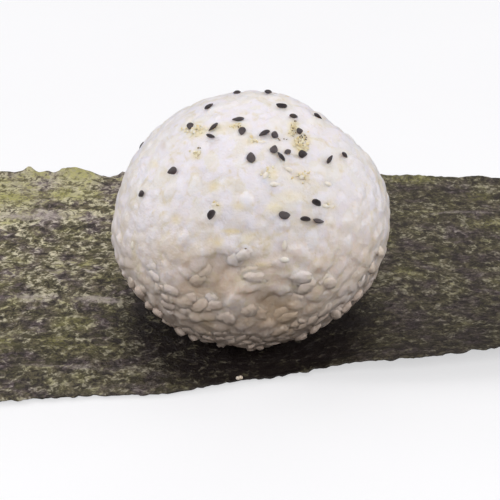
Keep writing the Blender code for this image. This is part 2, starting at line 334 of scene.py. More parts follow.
def ball_radius(ways):
    """Millimetres from the ball's middle to its smooth skin, along each unit vector in ways."""
    lean = math.radians(BALL_LEAN_DEG)
    across = ways[:, 0] * math.cos(lean) - ways[:, 2] * math.sin(lean)
    upward = ways[:, 0] * math.sin(lean) + ways[:, 2] * math.cos(lean)
    girth = np.hypot(across / (BALL_WIDTH / 2), ways[:, 1] / (BALL_DEPTH / 2))
    rise = np.abs(upward) / (BALL_HEIGHT / 2)
    radius = (girth**BALL_ROUNDNESS + rise**BALL_ROUNDNESS) ** (-1 / BALL_ROUNDNESS)
    for bearing, climb, distance in PRESSED_FLATS:
        plane = distance / np.maximum(ways @ direction(bearing, climb), 0.2)
        share = np.clip(0.5 + 0.5 * (plane - radius) / FLAT_BLEND, 0, 1)
        radius = plane * (1 - share) + radius * share - FLAT_BLEND * share * (1 - share)
    heights = np.array([bump[2] for bump in SWELLS_AND_HOLLOWS])
    return radius + bumps_at(ways, radius) @ heights


skin = ball_radius(unit(np.random.default_rng(1).normal(size=(2000, 3))))
print("skin from", round(skin.min(), 1), "to", round(skin.max(), 1), "mm from the middle")

# %% [markdown]
# ## One grain of rice
#
# A cooked grain of short rice is a plump oval about 6 mm long, blunt at both ends, with a small notch where
# the germ was. About a thousand of them show, so the one that all are copied from has few faces. It starts
# as a sphere with its poles on the X axis. Its rings are then made fuller or slimmer one by one, and the
# notch is pushed in, which keeps the mesh an even tube that shades smoothly.

# %% One grain of rice
GRAIN_SIDES = 8
GRAIN_RINGS = 7
GRAIN_FULLNESS = (0.82, 1.04, 1.06, 1.03, 0.98, 0.78)
GERM_NOTCH = (-0.05, 0.0, -0.07)


def select_just(*pieces):
    """Selects these pieces alone and makes the last one active."""
    bpy.ops.object.select_all(action="DESELECT")
    for piece in pieces:
        piece.select_set(True)
    bpy.context.view_layer.objects.active = pieces[-1]


def only_selected(obj, wanted):
    """Goes into edit mode with just the wanted vertices selected."""
    select_just(obj)
    bpy.ops.object.mode_set(mode="EDIT")
    bpy.ops.mesh.select_mode(type="VERT")
    bpy.ops.mesh.select_all(action="DESELECT")
    bpy.ops.object.mode_set(mode="OBJECT")
    for vert in obj.data.vertices:
        vert.select = bool(wanted(vert.co))
    bpy.ops.object.mode_set(mode="EDIT")


def ring_body(name, sides, rings, fullness):
    """A sphere of diameter 1 with its poles on X, whose rings are resized one by one."""
    bpy.ops.object.select_all(action="DESELECT")
    bpy.ops.mesh.primitive_uv_sphere_add(
        segments=sides, ring_count=rings, radius=0.5, rotation=(0.0, math.pi / 2, 0.0)
    )
    body = bpy.context.object
    body.name = name
    bpy.ops.object.transform_apply(location=False, rotation=True, scale=False)
    marks = sorted({round(vert.co.x, 4) for vert in body.data.vertices})[1:-1]
    for mark, full in zip(marks, fullness):
        only_selected(body, lambda co, mark=mark: abs(co.x - mark) < 0.001)
        bpy.ops.transform.resize(value=(1.0, full, full))
        bpy.ops.object.mode_set(mode="OBJECT")
    return body


def taken_apart(obj):
    """The corners and faces of a modelled piece as plain arrays, and the piece is removed."""
    corners = np.array([vert.co[:] for vert in obj.data.vertices])
    faces = [tuple(face.vertices) for face in obj.data.polygons]
    bpy.data.objects.remove(obj)
    return corners, faces


grain_model = ring_body("one_grain", GRAIN_SIDES, GRAIN_RINGS, GRAIN_FULLNESS)
only_selected(grain_model, lambda co: co.x > 0.35 and co.z > 0.1)
bpy.ops.transform.translate(value=GERM_NOTCH)
bpy.ops.object.mode_set(mode="OBJECT")
GRAIN_CORNERS, GRAIN_FACES = taken_apart(grain_model)
print("one grain has", len(GRAIN_FACES), "faces")

# %% [markdown]
# ## Packing the grains
#
# In a pressed ball the grains lie flat along the skin, side by side, in no order. To get that, each grain
# starts at a place of an even spiral with a random heading. Then the ends of neighbours that are too close
# push each other away, some dozens of times over. The grains end up evenly spaced but in no pattern, and a
# little chance is added to their places, since hands never pack as evenly as numbers do.

# %% Packing the grains
PACKED_GRAINS = 860
GRAIN_LENGTH = 5.9
GRAIN_WIDTH = 3.25
GRAIN_THICKNESS = 2.2
SETTLING_STEPS = 36
PUSH_REACH = 1.3
SLIDE = 0.16
SWING = 0.5
UNEVENNESS = 1.3


def even_spiral(count):
    turn = math.pi * (1 + math.sqrt(5))
    number = np.arange(count)
    z = 1 - 2 * (number + 0.5) / count
    ring = np.sqrt(1 - z * z)
    return np.stack((ring * np.cos(turn * number), ring * np.sin(turn * number), z), axis=1)


def lying(along, ways):
    """Headings turned down onto the skin, whose outward ways are given."""
    return unit(along - (along * ways).sum(axis=1, keepdims=True) * ways)


def settled(count, draw):
    """Middles and headings of packed grains as unit vectors, pushed apart until they lie evenly."""
    ways = even_spiral(count)
    along = draw.normal(size=(count, 3))
    half = GRAIN_LENGTH / 2 / (BALL_WIDTH + BALL_HEIGHT)
    reach = PUSH_REACH * math.sqrt(4 * math.pi / (2 * count))
    grain = np.tile(np.arange(count), 2)
    same = grain[:, None] == grain[None, :]
    for _ in range(SETTLING_STEPS):
        along = lying(along, ways)
        ends = unit(np.concatenate((ways + half * along, ways - half * along)))
        distance = np.sqrt(np.maximum(2 - 2 * ends @ ends.T, 1e-9))
        distance[same] = reach
        strength = np.maximum(reach - distance, 0) / reach / distance
        push = ends * strength.sum(axis=1, keepdims=True) - strength @ ends
        first, second = np.split(push, 2)
        ways = unit(ways + SLIDE * reach * (first + second))
        along = along + SWING * (first - second)
    return ways, lying(along, ways)


draw = np.random.default_rng(7)
packed_ways, packed_along = settled(PACKED_GRAINS, draw)
packed_ways = unit(packed_ways + draw.normal(0, UNEVENNESS / BALL_WIDTH, packed_ways.shape))
packed_along = lying(packed_along, packed_ways)
print("packed grains:", len(packed_ways))

# %% [markdown]
# ## Pressed by the palms
#
# Wet palms press the upper grains nearly flush, so the top of the ball is smooth. Lower down, and most of all
# in front, the grains are looser and stand out more, and some cling together in clods. One function says how
# loose the rice is in each direction. Each point of a grain that rises above the height allowed there is
# pushed back towards it, softly, and nothing goes below the flat foot that the ball stands on.

# %% Pressed by the palms
LOOSE_BELOW = -0.48
LOOSE_FADE = 0.65
FRONT_SPREAD_DEG = 50
FRONT_LOOSE_HIGHER = 0.28
FRONT_FADE_LONGER = 0.45
LOOSEST_BELOW = -0.50
CLEAN_HOLLOW = 2
LOOSE_RISE = 0.72
PRESSED_RISE = 0.36
PALM_SOFTNESS = 0.35
CLOD_SIZE = 9.0
CLOD_HEIGHT = 0.55
FOOT_RISE = 0.25


def looseness(ways):
    """From 0 where the palms pressed the rice smooth to 1 where it is loose, low down and in front."""
    front = np.exp(-((bearing_of(ways) / FRONT_SPREAD_DEG) ** 2))
    above = ways[:, 2] - LOOSE_BELOW - FRONT_LOOSE_HIGHER * front
    loose = 1 - smooth_step(above / (LOOSE_FADE + FRONT_FADE_LONGER * front))
    loose = loose * (0.65 + 0.55 * smooth_step((LOOSEST_BELOW - ways[:, 2]) / 0.2))
    return loose * (1 - 0.85 * bumps_at(ways, BALL_WIDTH / 2)[:, CLEAN_HOLLOW])


def clods(ways):
    """Millimetres by which the skin swells or sinks where grains cling together in clods, less on the top."""
    waves = [noise.noise(Vector(way) * (BALL_WIDTH / 2 / CLOD_SIZE)) for way in ways]
    return np.array(waves) * CLOD_HEIGHT * (0.3 + 0.7 * looseness(ways))


def rise_allowed(ways):
    return PRESSED_RISE + (LOOSE_RISE - PRESSED_RISE) * looseness(ways) + clods(ways)


def press(points, more=0.0):
    """Points in millimetres from the ball's middle, with what stands too far out of the skin pushed back."""
    distance = np.linalg.norm(points, axis=1)
    ways = points / distance[:, None]
    allowed = ball_radius(ways) + rise_allowed(ways) + more
    over = distance - allowed
    softened = PALM_SOFTNESS * (1 - np.exp(-(over + PALM_SOFTNESS) / PALM_SOFTNESS)) - PALM_SOFTNESS
    distance = allowed + np.where(over > -PALM_SOFTNESS, softened, over)
    lowest = REST_HEIGHT - FOOT_RISE
    distance = np.minimum(distance, lowest / np.maximum(-ways[:, 2], 1e-6))
    return ways * distance[:, None]


print("looseness at the front foot", looseness(np.array([direction(0, -40)])).round(2))

# %% [markdown]
# ## Many copies, one mesh
#
# Hundreds of grains as hundreds of objects would slow Blender down. A copy is only its model's corners,
# turned and stretched, so NumPy works out the corners of all copies at once, and one object holds them. The
# values that the finish reads, such as each grain's own tone, are kept at the corners.

# %% Many copies, one mesh
def laid_copies(corners, middles, outward, heading, sizes):
    """One copy of a kernel's corners for each middle, its length on heading and its flat side outward."""
    front = lying(heading, outward)
    side = np.cross(outward, front)
    turn = np.stack((front, side, outward), axis=1) * sizes[:, :, None]
    return middles[:, None, :] + np.einsum("...kc,...cd->...kd", corners, turn)


def keep_values(data, values):
    """Keeps named values on a mesh, one number for each corner, for its finish to read."""
    for name, numbers in values.items():
        numbers = np.asarray(numbers, np.float32)
        data.attributes.new(name, "FLOAT", "POINT").data.foreach_set("value", numbers)


def mesh_of(name, points, faces, finish=None, **values):
    """An object from corners in millimetres, smooth, with values for its corners kept on it."""
    data = bpy.data.meshes.new(name)
    data.from_pydata((points * MM).tolist(), [], faces)
    data.shade_smooth()
    keep_values(data, values)
    piece = bpy.data.objects.new(name, data)
    bpy.context.scene.collection.objects.link(piece)
    if finish:
        data.materials.append(finish.material)
    return piece


def joined(name, copies, faces, finish, **values):
    """Copies of one kernel as one object. Each value is given once for a copy, or for each of its corners."""
    count, corners = copies.shape[:2]
    every = [tuple(corner + corners * number for corner in face) for number in range(count) for face in faces]
    spread = {}
    for value, numbers in values.items():
        numbers = np.asarray(numbers, float)
        spread[value] = np.repeat(numbers, corners) if numbers.ndim == 1 else numbers.reshape(-1)
    return mesh_of(name, copies.reshape(-1, 3), every, finish, **spread)


print("corners of all packed grains:", len(packed_ways) * len(GRAIN_CORNERS))

# %% [markdown]
# ## The finish of the rice
#
# Cooked rice lets light in a little way and gives it back softly, the red part of it a little further than
# the rest, so the grooves between grains glow warm instead of going grey. Some grains look cool white, others
# creamy, and a few are glassy. Cloudy patches of starch look milky, and thin stains of straw colour follow
# the grooves, where a darker beige is also painted as shade. Low down, most on the front, the rice is
# painted beige and darker as shade, since it is lit less there, and darker still near the foot. Spots, most in
# the front hollows, get a darker beige: painted shade, partly damp rice. Around the golden crumbs the rice has
# taken their colour. Most of these are values that the mesh carries, so that whole grains change and not only
# patches. Finer than a grain there is only noise: straw coloured specks, and a bump of three sizes for the
# grains' wrinkled skin.

# %% The finish of the rice
RICE_REACH = 2.2
EVEN_REACH = (1.0, 0.93, 0.85)
COOL_WHITE = (0.87, 0.83, 0.87)
CREAM_WHITE = (0.86, 0.82, 0.775)
WARM_SHADE_WHITE = (0.80, 0.645, 0.525)
GLASSY = (0.67, 0.565, 0.45)
GROOVE_SHADE = (0.74, 0.655, 0.49)
STRAW = (0.76, 0.68, 0.49)
MILKY_WHITE = (0.93, 0.90, 0.94)
LOW_SHADE_BEIGE = (0.52, 0.425, 0.355)
DAMP_AND_SHADE_BEIGE = (0.55, 0.415, 0.28)
GOLDEN = (0.90, 0.78, 0.46)


def soft_finish(name, light_share, reach, **constants):
    """A finish that lets a share of the light in, as far as reach millimetres."""
    light = {"Weight": light_share, "Radius": EVEN_REACH, "Scale": reach * MM}
    light = {"Subsurface_" + socket: value for socket, value in light.items()}
    return Finish(name, **{"IOR": 1.4} | light | constants)


def rice_finish(name, light_share, reach):
    rice = soft_finish(name, light_share, reach, IOR=1.36, Coat_Roughness=0.3)
    places = rice.places()
    mottle = rice.grainy(places, 4.0)
    fine = rice.grainy(places, 0.45, 3.0, 0.6)
    stain = rice.spots(places, 3.2, 0.50, 0.72, 3.0, 0.6, 0.8)
    speck = rice.spots(places, 1.5, 0.50, 0.68, 2.0, 0.6)
    milky = rice.spots(places, 5.0, 0.50, 0.68, 2.0, 0.5, 0.6)
    tone = rice.own_value("tone")
    damp = rice.own_value("damp")
    warm = rice.own_value("warm")
    seen_milky = rice.own_value("milky")
    colour = rice.blend(CREAM_WHITE, COOL_WHITE, rice.between(tone * 0.8 + mottle * 0.5, 0.30, 0.95))
    # Beige and darker low on the front: painted warm shade where the rice is lit less.
    colour = rice.blend(colour, WARM_SHADE_WHITE, warm * (1.0 - rice.between(tone, 0.3, 1.0) * 0.25))
    colour = rice.blend(colour, GLASSY, rice.between(tone, 0.20, 0.05) * (0.15 + warm * 0.45))
    colour = rice.blend(colour, MILKY_WHITE, milky * (0.50 - warm * 0.25) + seen_milky * 0.75)
    # Darker beige in the grooves: painted shade between the grains, partly straw stain.
    colour = rice.blend(colour, GROOVE_SHADE, rice.own_value("groove") * (0.08 + stain * 0.65 + warm * 0.30))
    colour = rice.blend(colour, STRAW, stain * (0.28 + warm * 0.12))
    colour = rice.blend(colour, STRAW, speck * (0.05 + warm * 0.27))
    golden = rice.own_value("gold") * rice.between(mottle + fine * 0.5, 0.30, 0.85)
    colour = rice.blend(colour, GOLDEN, golden)
    # Darker beige near the foot: painted shade.
    colour = rice.blend(colour, LOW_SHADE_BEIGE, rice.own_value("low") * (0.60 + milky * -0.20 + mottle * 0.60))
    # Darker beige spots: painted shade in the hollows, partly damp rice.
    colour = rice.blend(colour, DAMP_AND_SHADE_BEIGE, damp * (1.0 - seen_milky) * (0.90 - tone * 0.25))
    rice.feed(Base_Color=colour, Roughness=0.42 + fine * 0.2, Coat_Weight=0.05 + damp * 0.10)
    wrinkles = fine * 0.5 + rice.grainy(places, 1.6, 2.0) * 1.2 + rice.grainy(places, 0.9, 1.0) * 0.9
    rice.feed(Normal=rice.bump(wrinkles, 0.65, 0.28))
    return rice


pressed_finish = rice_finish("pressed_cooked_rice", 1.0, RICE_REACH)
loose_finish = rice_finish("loose_cooked_rice", 0.25, RICE_REACH * 0.3)
print("light reaches", RICE_REACH, "mm into pressed rice, shader nodes", len(pressed_finish.tree.nodes))

# %% [markdown]
# ## Reading places off the photograph
#
# Seeds and loose grains can be placed in the photograph: a line from the camera through a pixel meets the
# skin at one point. Where a line just misses the ball, the nearest point of the skin is taken. The way in
# which the piece points in the picture is turned into a heading along the skin at that point.

# %% Reading places off the photograph
MIDDLE = Vector(BALL_MIDDLE)
EYE_POINT = Vector(EYE)
PITCH = math.radians(LOOK_DOWN_DEG)
AHEAD = Vector((0, math.cos(PITCH), -math.sin(PITCH)))
UP = Vector((0, math.sin(PITCH), math.cos(PITCH)))
RIGHT = Vector((1, 0, 0))


def tree_of(*pieces):
    """A search tree over the faces of pieces, in millimetres."""
    corners, faces = [], []
    for piece in pieces:
        first = len(corners)
        corners += [vert.co / MM for vert in piece.data.vertices]
        faces += [tuple(first + corner for corner in face.vertices) for face in piece.data.polygons]
    return BVHTree.FromPolygons(corners, faces)


def pixel_of(points):
    """Where points in millimetres from the ball's middle show in the picture, across and down."""
    away = np.asarray(points) + BALL_MIDDLE - np.array(EYE)
    ahead = away @ np.array(AHEAD)
    across = PICTURE_PIXELS / 2 + FOCAL_PIXELS * away[..., 0] / ahead
    return across, PICTURE_PIXELS / 2 - FOCAL_PIXELS * (away @ np.array(UP)) / ahead


def seen_on_skin(tree, across, down, lean):
    """The skin's point at a pixel, its outward way, the heading of a lean, and pixels for a millimetre."""
    centre = PICTURE_PIXELS / 2
    sight = (FOCAL_PIXELS * AHEAD + (across - centre) * RIGHT - (down - centre) * UP).normalized()
    place = tree.ray_cast(EYE_POINT, sight)[0]
    if place is None:
        place = tree.find_nearest(EYE_POINT + sight * (MIDDLE - EYE_POINT).dot(sight))[0]
    outward = (place - MIDDLE).normalized()
    turn = math.radians(lean)
    drawn = math.sin(turn) * RIGHT + math.cos(turn) * UP
    slant = min(sight.dot(outward), -0.25)
    heading = (drawn - sight * drawn.dot(outward) / slant).normalized()
    return place, outward, heading, FOCAL_PIXELS / (place - EYE_POINT).dot(AHEAD)


print("the ball's middle shows at pixel", [round(float(shown)) for shown in pixel_of(np.zeros(3))])

# %% [markdown]
# ## Where the rice is damp or shaded, golden or milky
#
# These lists say where the rice changes its look, each as a soft oval in the photograph: its middle, half its
# width and height in pixels, and its strength. The damp spots are a darker beige: painted shade, most in the
# front hollows, partly damp rice. Every corner of the mesh looks up how near it lies to them. Painting weights
# by hand would do the same, but rows of numbers are easier to change one at a time.

# %% Where the rice is damp or shaded, golden or milky
# Darker beige spots: painted shade, most in the front hollows, partly damp rice.
DAMP_AND_SHADED_SPOTS = (
    (212, 284, 31, 26, 0.36), (226, 271, 13, 9, 0.55), (200, 292, 11, 9, 0.55), (217, 290, 13, 5, 0.55),
    (266, 299, 12, 11, 1.0), (282, 322, 20, 11, 0.7), (277, 314, 22, 15, 1.0), (207, 325, 6, 6, 0.5),
    (262, 268, 6, 4, 0.35), (313, 283, 9, 5, 0.35), (163, 146, 3, 5, 0.45), (332, 227, 3, 3, 0.5),
    (214, 238, 5, 5, 0.3), (178, 216, 5, 3, 0.25), (249, 322, 6, 4, 0.5), (288, 331, 6, 5, 0.5),
    (258, 218, 4, 9, 0.25), (237, 224, 4, 8, 0.25), (283, 228, 7, 3, 0.2), (205, 226, 8, 3, 0.2),
    (192, 263, 14, 7, 0.35), (222, 262, 9, 5, 0.35), (206, 276, 12, 8, 0.25), (270, 308, 9, 9, 0.4),
)
GOLDEN_SPOTS = (
    (301, 143, 9, 11, 1.0), (293, 126, 6, 6, 0.8), (292, 134, 6, 4, 0.7), (238, 126, 9, 4, 0.7),
    (196, 131, 12, 8, 0.75), (196, 155, 6, 5, 0.6), (253, 141, 8, 5, 0.45), (222, 128, 14, 5, 0.4),
    (272, 174, 6, 8, 0.55), (300, 176, 11, 8, 0.5), (207, 325, 7, 8, 0.8), (250, 238, 16, 6, 0.3),
    (218, 206, 5, 5, 0.4), (215, 238, 8, 6, 0.4), (330, 206, 8, 6, 0.4), (276, 150, 12, 10, 0.25),
    (215, 187, 6, 5, 0.5), (239, 206, 6, 4, 0.5), (232, 231, 11, 2.5, 0.8), (218, 240, 6, 6, 0.6),
    (275, 208, 9, 6, 0.5), (176, 219, 5, 6, 0.5), (154, 165, 5, 4, 0.5), (134, 249, 2.5, 12, 0.5),
    (262, 265, 7, 3, 0.6), (290, 196, 14, 6, 0.35),
)
MILKY_SPOTS = (
    (188, 189, 14, 13, 0.6), (140, 228, 28, 28, 0.45), (186, 234, 13, 9, 0.7), (247, 208, 6, 11, 1.0),
    (230, 216, 10, 5, 0.6), (315, 240, 12, 12, 0.7), (368, 218, 18, 15, 0.5), (231, 304, 13, 12, 0.75),
    (299, 277, 16, 7, 0.35), (210, 298, 4.5, 5, 0.7), (252, 283, 14, 6, 0.5), (334, 302, 9, 12, 0.4),
    (240, 330, 10, 5, 0.4), (160, 270, 18, 14, 0.4), (150, 298, 10, 14, 0.4), (283, 289, 8, 6, 0.5),
    (345, 288, 10, 16, 0.4), (264, 286, 16, 6, 0.4), (221, 316, 7, 12, 0.5), (180, 318, 14, 8, 0.3),
    (250, 238, 36, 18, 0.45), (268, 236, 8, 6, 0.7), (226, 221, 7, 8, 0.6), (293, 238, 9, 6, 0.5),
    (270, 216, 5, 7, 0.6), (206, 236, 9, 6, 0.5),
)


def marked(points, spots):
    """How strongly points in millimetres from the ball's middle are marked by spots that show at pixels."""
    away = points + BALL_MIDDLE - np.array(EYE)
    across, down = pixel_of(points)
    strongest = np.zeros(len(points))
    for spot_across, spot_down, half_width, half_height, strength in spots:
        far = ((across - spot_across) / half_width) ** 2 + ((down - spot_down) / half_height) ** 2
        strongest = np.maximum(strongest, strength * np.exp(-(far**1.5)))
    return strongest * ((away * points).sum(axis=1) < 0)


print("damp, golden and milky spots:", len(DAMP_AND_SHADED_SPOTS), len(GOLDEN_SPOTS), len(MILKY_SPOTS))

# %% [markdown]
# ## What the finish of the rice reads
#
# Low down the ball is lit less, so its colour is painted warmer and darker there, as shade. That depends only
# on where a corner lies. One function gathers this, the spots, a grain's tone and its grooves, under the names
# by which the finish asks for them.

# %% What the finish of the rice reads
WARM_BELOW_DEG = 38
WARM_FADE_DEG = 42
WARM_SPREAD_DEG = 70
LOW_BELOW_DEG = 10
LOW_FADE_DEG = 36


def painted_warm_shade(points):
    """From 0 on the bright top to 1 low on the front, where the rice is painted beige and darker: painted warm
    shade.
    """
    front = np.exp(-((bearing_of(points) / WARM_SPREAD_DEG) ** 2))
    return smooth_step((WARM_BELOW_DEG - climb_of(unit(points))) / WARM_FADE_DEG) * (0.20 + 0.80 * front)


def painted_low_shade(points):
    """From 0 to 1 near the foot, where the rice is painted darker: painted shade."""
    return smooth_step((LOW_BELOW_DEG - climb_of(unit(points))) / LOW_FADE_DEG)


def rice_values(points, tone, groove):
    """The values that the finish of the rice reads, for points in millimetres from the ball's middle."""
    return {
        "tone": tone,
        "groove": groove,
        "warm": painted_warm_shade(points),
        "low": painted_low_shade(points),
        "damp": marked(points, DAMP_AND_SHADED_SPOTS),
        "gold": marked(points, GOLDEN_SPOTS),
        "milky": marked(points, MILKY_SPOTS),
    }


print("warmth at the front foot", painted_warm_shade(np.array([direction(0, -40)])).round(2))

# %% [markdown]
# ## The core
#
# Under the grains lies a plain core, a little smaller than the ball. It is a cube that is cut many times and
# blown up to a ball, because its faces are even all over, while the faces of a UV sphere crowd at its poles.

# %% The core
CORE_CUTS = 63
CORE_DEPTH = (0.34, 0.18)
CORE_ABOVE_FOOT = 0.4

bpy.ops.object.select_all(action="DESELECT")
bpy.ops.mesh.primitive_cube_add(size=2.0)
core_model = bpy.context.object
bpy.ops.object.mode_set(mode="EDIT")
bpy.ops.mesh.select_all(action="SELECT")
bpy.ops.mesh.subdivide(number_cuts=CORE_CUTS)
bpy.ops.object.mode_set(mode="OBJECT")
core_corners, core_faces = taken_apart(core_model)
core_ways = unit(np.tan(core_corners * math.pi / 4))
core_radius = ball_radius(core_ways) - CORE_DEPTH[1] - (CORE_DEPTH[0] - CORE_DEPTH[1]) * looseness(core_ways)
core_radius = np.minimum(core_radius, (REST_HEIGHT - CORE_ABOVE_FOOT) / np.maximum(-core_ways[:, 2], 1e-6))
print("core faces", len(core_faces))

# %% [markdown]
# ## Grains that were pressed
#
# Pressed grains aren't neat ovals: each copy is squared a little, dented by chance, and has its outer side
# cut flat where the palm pushed it. No two lie quite level either, so each is tipped and rolled by chance.
# They could be sculpted one by one, but nobody would see the difference in so many.

# %% Grains that were pressed
WIDTHS = (0.85, 1.20)
PRESSED_FLAT_AT = 0.80
SQUARENESS = 0.75
DENTS = 0.10


def tipped(ways, along, tilt, roll):
    """Outward ways and headings of grains whose heads are tipped by tilt and that are rolled, in radians."""
    along = lying(along, ways)
    tilt, roll = (np.reshape(most, (-1, 1)) * draw.normal(size=(len(ways), 1)) for most in (tilt, roll))
    outward = ways * np.cos(tilt) - along * np.sin(tilt)
    heading = along * np.cos(tilt) + ways * np.sin(tilt)
    return outward * np.cos(roll) + np.cross(outward, heading) * np.sin(roll), heading


def grain_sizes(count, lengths):
    length = draw.uniform(*lengths, count)
    width = draw.uniform(*WIDTHS, count)
    return np.stack((GRAIN_LENGTH * length, GRAIN_WIDTH * width, np.full(count, GRAIN_THICKNESS)), axis=1)


def pressed_copies(middles, outward, heading, sizes):
    """Dented grains with blunt edges, whose outer sides the palms pressed flat, each to its own plane."""
    squared = np.sign(GRAIN_CORNERS) * 0.5 * np.abs(2 * GRAIN_CORNERS) ** (1, SQUARENESS, SQUARENESS)
    dented = squared * (1 + draw.normal(0, DENTS, (len(middles), *squared.shape)))
    copies = laid_copies(dented, middles, outward, heading, sizes)
    over = ((copies - middles[:, None, :]) * outward[:, None, :]).sum(axis=2) - PRESSED_FLAT_AT
    return copies - np.maximum(over, 0)[:, :, None] * outward[:, None, :]


print("grains are", [round(GRAIN_WIDTH * width, 1) for width in WIDTHS], "mm wide at the least and the most")

# %% [markdown]
# ## Grains laid side by side
#
# In a pressed ball the grains are glued by their own starch, so their edges run into each other. To get
# that, real grains are laid side by side over the core, and later one skin is grown over all of it. Metaballs
# would also melt together, but they lose the shape of the grains. Shorter grains, laid anyhow, fill the gaps.

# %% Grains laid side by side
PACKED_TILT = (0.07, 0.17)
PACKED_ROLL = (0.09, 0.20)
PACKED_LENGTHS = (0.72, 1.12)
FILLER_GRAINS = 420
FILLER_TILT = (0.15, 0.42)
FILLER_ROLL = (0.15, 0.27)
FILLER_LENGTHS = (0.45, 1.0)
SUNK = 0.72
BEADS_ON_A_GRAIN = 5
BEADS_REACH = 0.36


def beads_of(middles, heading, length):
    """Points along the length of each grain, by which any place is known to belong to the nearest grain."""
    steps = np.linspace(-BEADS_REACH, BEADS_REACH, BEADS_ON_A_GRAIN)
    return middles[:, None, :] + (steps[None, :] * length[:, None])[:, :, None] * heading[:, None, :]


def laid_grains_and_beads(ways, along, tilt, roll, lengths, sunk_more):
    """Grains laid along ways. Tilt and roll are each a least amount and what is added where all is loose."""
    tilt, roll = (least + more * looseness(ways) for least, more in (tilt, roll))
    outward, heading = tipped(ways, along, tilt, roll)
    sizes = grain_sizes(len(ways), lengths)
    depth = SUNK + sunk_more(len(ways))
    middles = ways * (ball_radius(ways) - depth)[:, None]
    return pressed_copies(middles, outward, heading, sizes), beads_of(middles, heading, sizes[:, 0])


packed, packed_beads = laid_grains_and_beads(
    packed_ways, packed_along, PACKED_TILT, PACKED_ROLL, PACKED_LENGTHS,
    lambda count: draw.normal(0, 0.16, count),
)
filler_ways = unit(draw.normal(size=(FILLER_GRAINS, 3)))
filler_along = unit(np.cross(filler_ways, draw.normal(size=(FILLER_GRAINS, 3))))
filler, filler_beads = laid_grains_and_beads(
    filler_ways, filler_along, FILLER_TILT, FILLER_ROLL, FILLER_LENGTHS,
    lambda count: draw.uniform(-0.1, 0.5, count),
)
every_grain = np.concatenate((packed, filler))
every_grain = press(every_grain.reshape(-1, 3)).reshape(every_grain.shape)
print("grains laid on the core:", len(every_grain))

# %% [markdown]
# ## Grains that stand out in the photograph
#
# Chance can't know where the eye will look, so the grains that stand out in the picture are listed: each row
# gives a grain's pixel, its lean from upright in degrees, its length and its width. They could be modelled
# one by one where they lie, but rows of numbers are quicker to move about when one looks wrong.

# %% Grains that stand out in the photograph
GRAINS_SEEN = (
    (212, 298, 20, 3.7, 3.3), (234, 302, 20, 5.4, 3.6), (229, 318, 15, 4.8, 3.2), (249, 287, 80, 6.8, 3.0),
    (258, 277, 95, 6.6, 3.0), (283, 290, 60, 4.2, 3.1), (302, 277, 90, 6.2, 3.4), (299, 304, 75, 4.8, 3.1),
    (244, 326, 70, 5.0, 3.2), (268, 333, 40, 4.8, 3.2), (281, 335, 140, 4.2, 3.0), (254, 344, 95, 3.8, 2.5),
    (234, 340, 85, 5.6, 3.0), (199, 330, 140, 4.2, 2.8), (186, 324, 110, 4.6, 2.8), (338, 311, 170, 4.6, 2.6),
    (324, 311, 40, 5.2, 3.2), (303, 325, 60, 5.4, 2.9), (292, 331, 80, 4.2, 2.8), (152, 300, -20, 5.4, 2.8),
    (168, 312, 60, 4.8, 2.8), (139, 291, 20, 4.0, 2.5), (131, 284, 0, 3.8, 2.4), (247, 207, 0, 7.0, 3.3),
    (205, 251, 80, 5.8, 3.0), (228, 250, 100, 5.2, 2.9), (243, 255, 60, 4.6, 2.8), (352, 287, 140, 5.2, 2.8),
    (120, 244, 170, 5.0, 2.7), (184, 303, 70, 5.2, 3.0), (172, 290, 120, 5.0, 3.0), (318, 292, 40, 4.8, 2.9),
    (330, 283, 120, 5.0, 2.9), (222, 338, 70, 4.6, 2.8), (300, 252, 100, 5.4, 3.0), (321, 262, 60, 5.0, 2.9),
    (284, 262, 80, 5.2, 2.8), (366, 262, 160, 4.8, 2.6), (376, 240, 175, 4.8, 2.6), (115, 226, 0, 4.8, 2.6),
    (210, 338, 120, 4.4, 2.8), (270, 345, 80, 4.4, 2.6), (313, 319, 50, 4.6, 2.8), (345, 299, 150, 4.6, 2.7),
)
SEEN_LIFT = -0.35
SEEN_TIPPED = 0.12
SEEN_PROUD = 0.7


def standing_grain(place, outward, heading, length, width, lift):
    """The middle, outward way, heading and sizes of a grain that rests on the skin, lifted by lift."""
    front = (heading - heading.dot(outward) * outward).normalized()
    middle = place - MIDDLE + lift * outward
    return middle, outward, front, (length, width, min(width, GRAIN_THICKNESS))


def grains_at(tree, seen, lift):
    """A standing grain for each pixel, lean, length and width."""
    for across, down, lean, length, width in seen:
        place, outward, heading, _ = seen_on_skin(tree, across, down, lean)
        yield standing_grain(place, outward, heading, length, width, lift)


def columns_of(rows):
    """The middles, outward ways, headings and sizes of rows, each as one array."""
    return (np.array([row[part] for row in rows], float) for part in range(4))


def standing_copies(rows, tilt, more):
    """Copies of the modelled grain for standing grains, tipped a little and pressed less than others."""
    middles, outward, heading, sizes = columns_of(rows)
    outward, heading = tipped(outward, heading, tilt, tilt)
    copies = pressed_copies(middles, outward, heading, sizes)
    return middles, heading, sizes, press(copies.reshape(-1, 3), more).reshape(copies.shape)


smooth_ball = mesh_of("smooth_ball", core_ways * ball_radius(core_ways)[:, None] + BALL_MIDDLE, core_faces)
smooth_tree = tree_of(smooth_ball)
bpy.data.objects.remove(smooth_ball)
seen_rows = list(grains_at(smooth_tree, GRAINS_SEEN, SEEN_LIFT))
middles, heading, sizes, seen_grains = standing_copies(seen_rows, SEEN_TIPPED, SEEN_PROUD)
seen_beads = beads_of(middles, heading, sizes[:, 0])
every_grain = np.concatenate((every_grain, seen_grains))
print("grains placed by the photograph:", len(seen_grains))

# %% [markdown]
# ## One skin over the pressed rice
#
# Core and grains are joined, and a Remesh modifier grows one skin over them. Its voxels are half a
# millimetre: small enough to keep two grains apart, and large enough to melt their edges together. A little
# smoothing then rounds the grooves, as the starch does.

# %% One skin over the pressed rice
VOXEL = 0.50
SMOOTHING_ROUNDS = 1


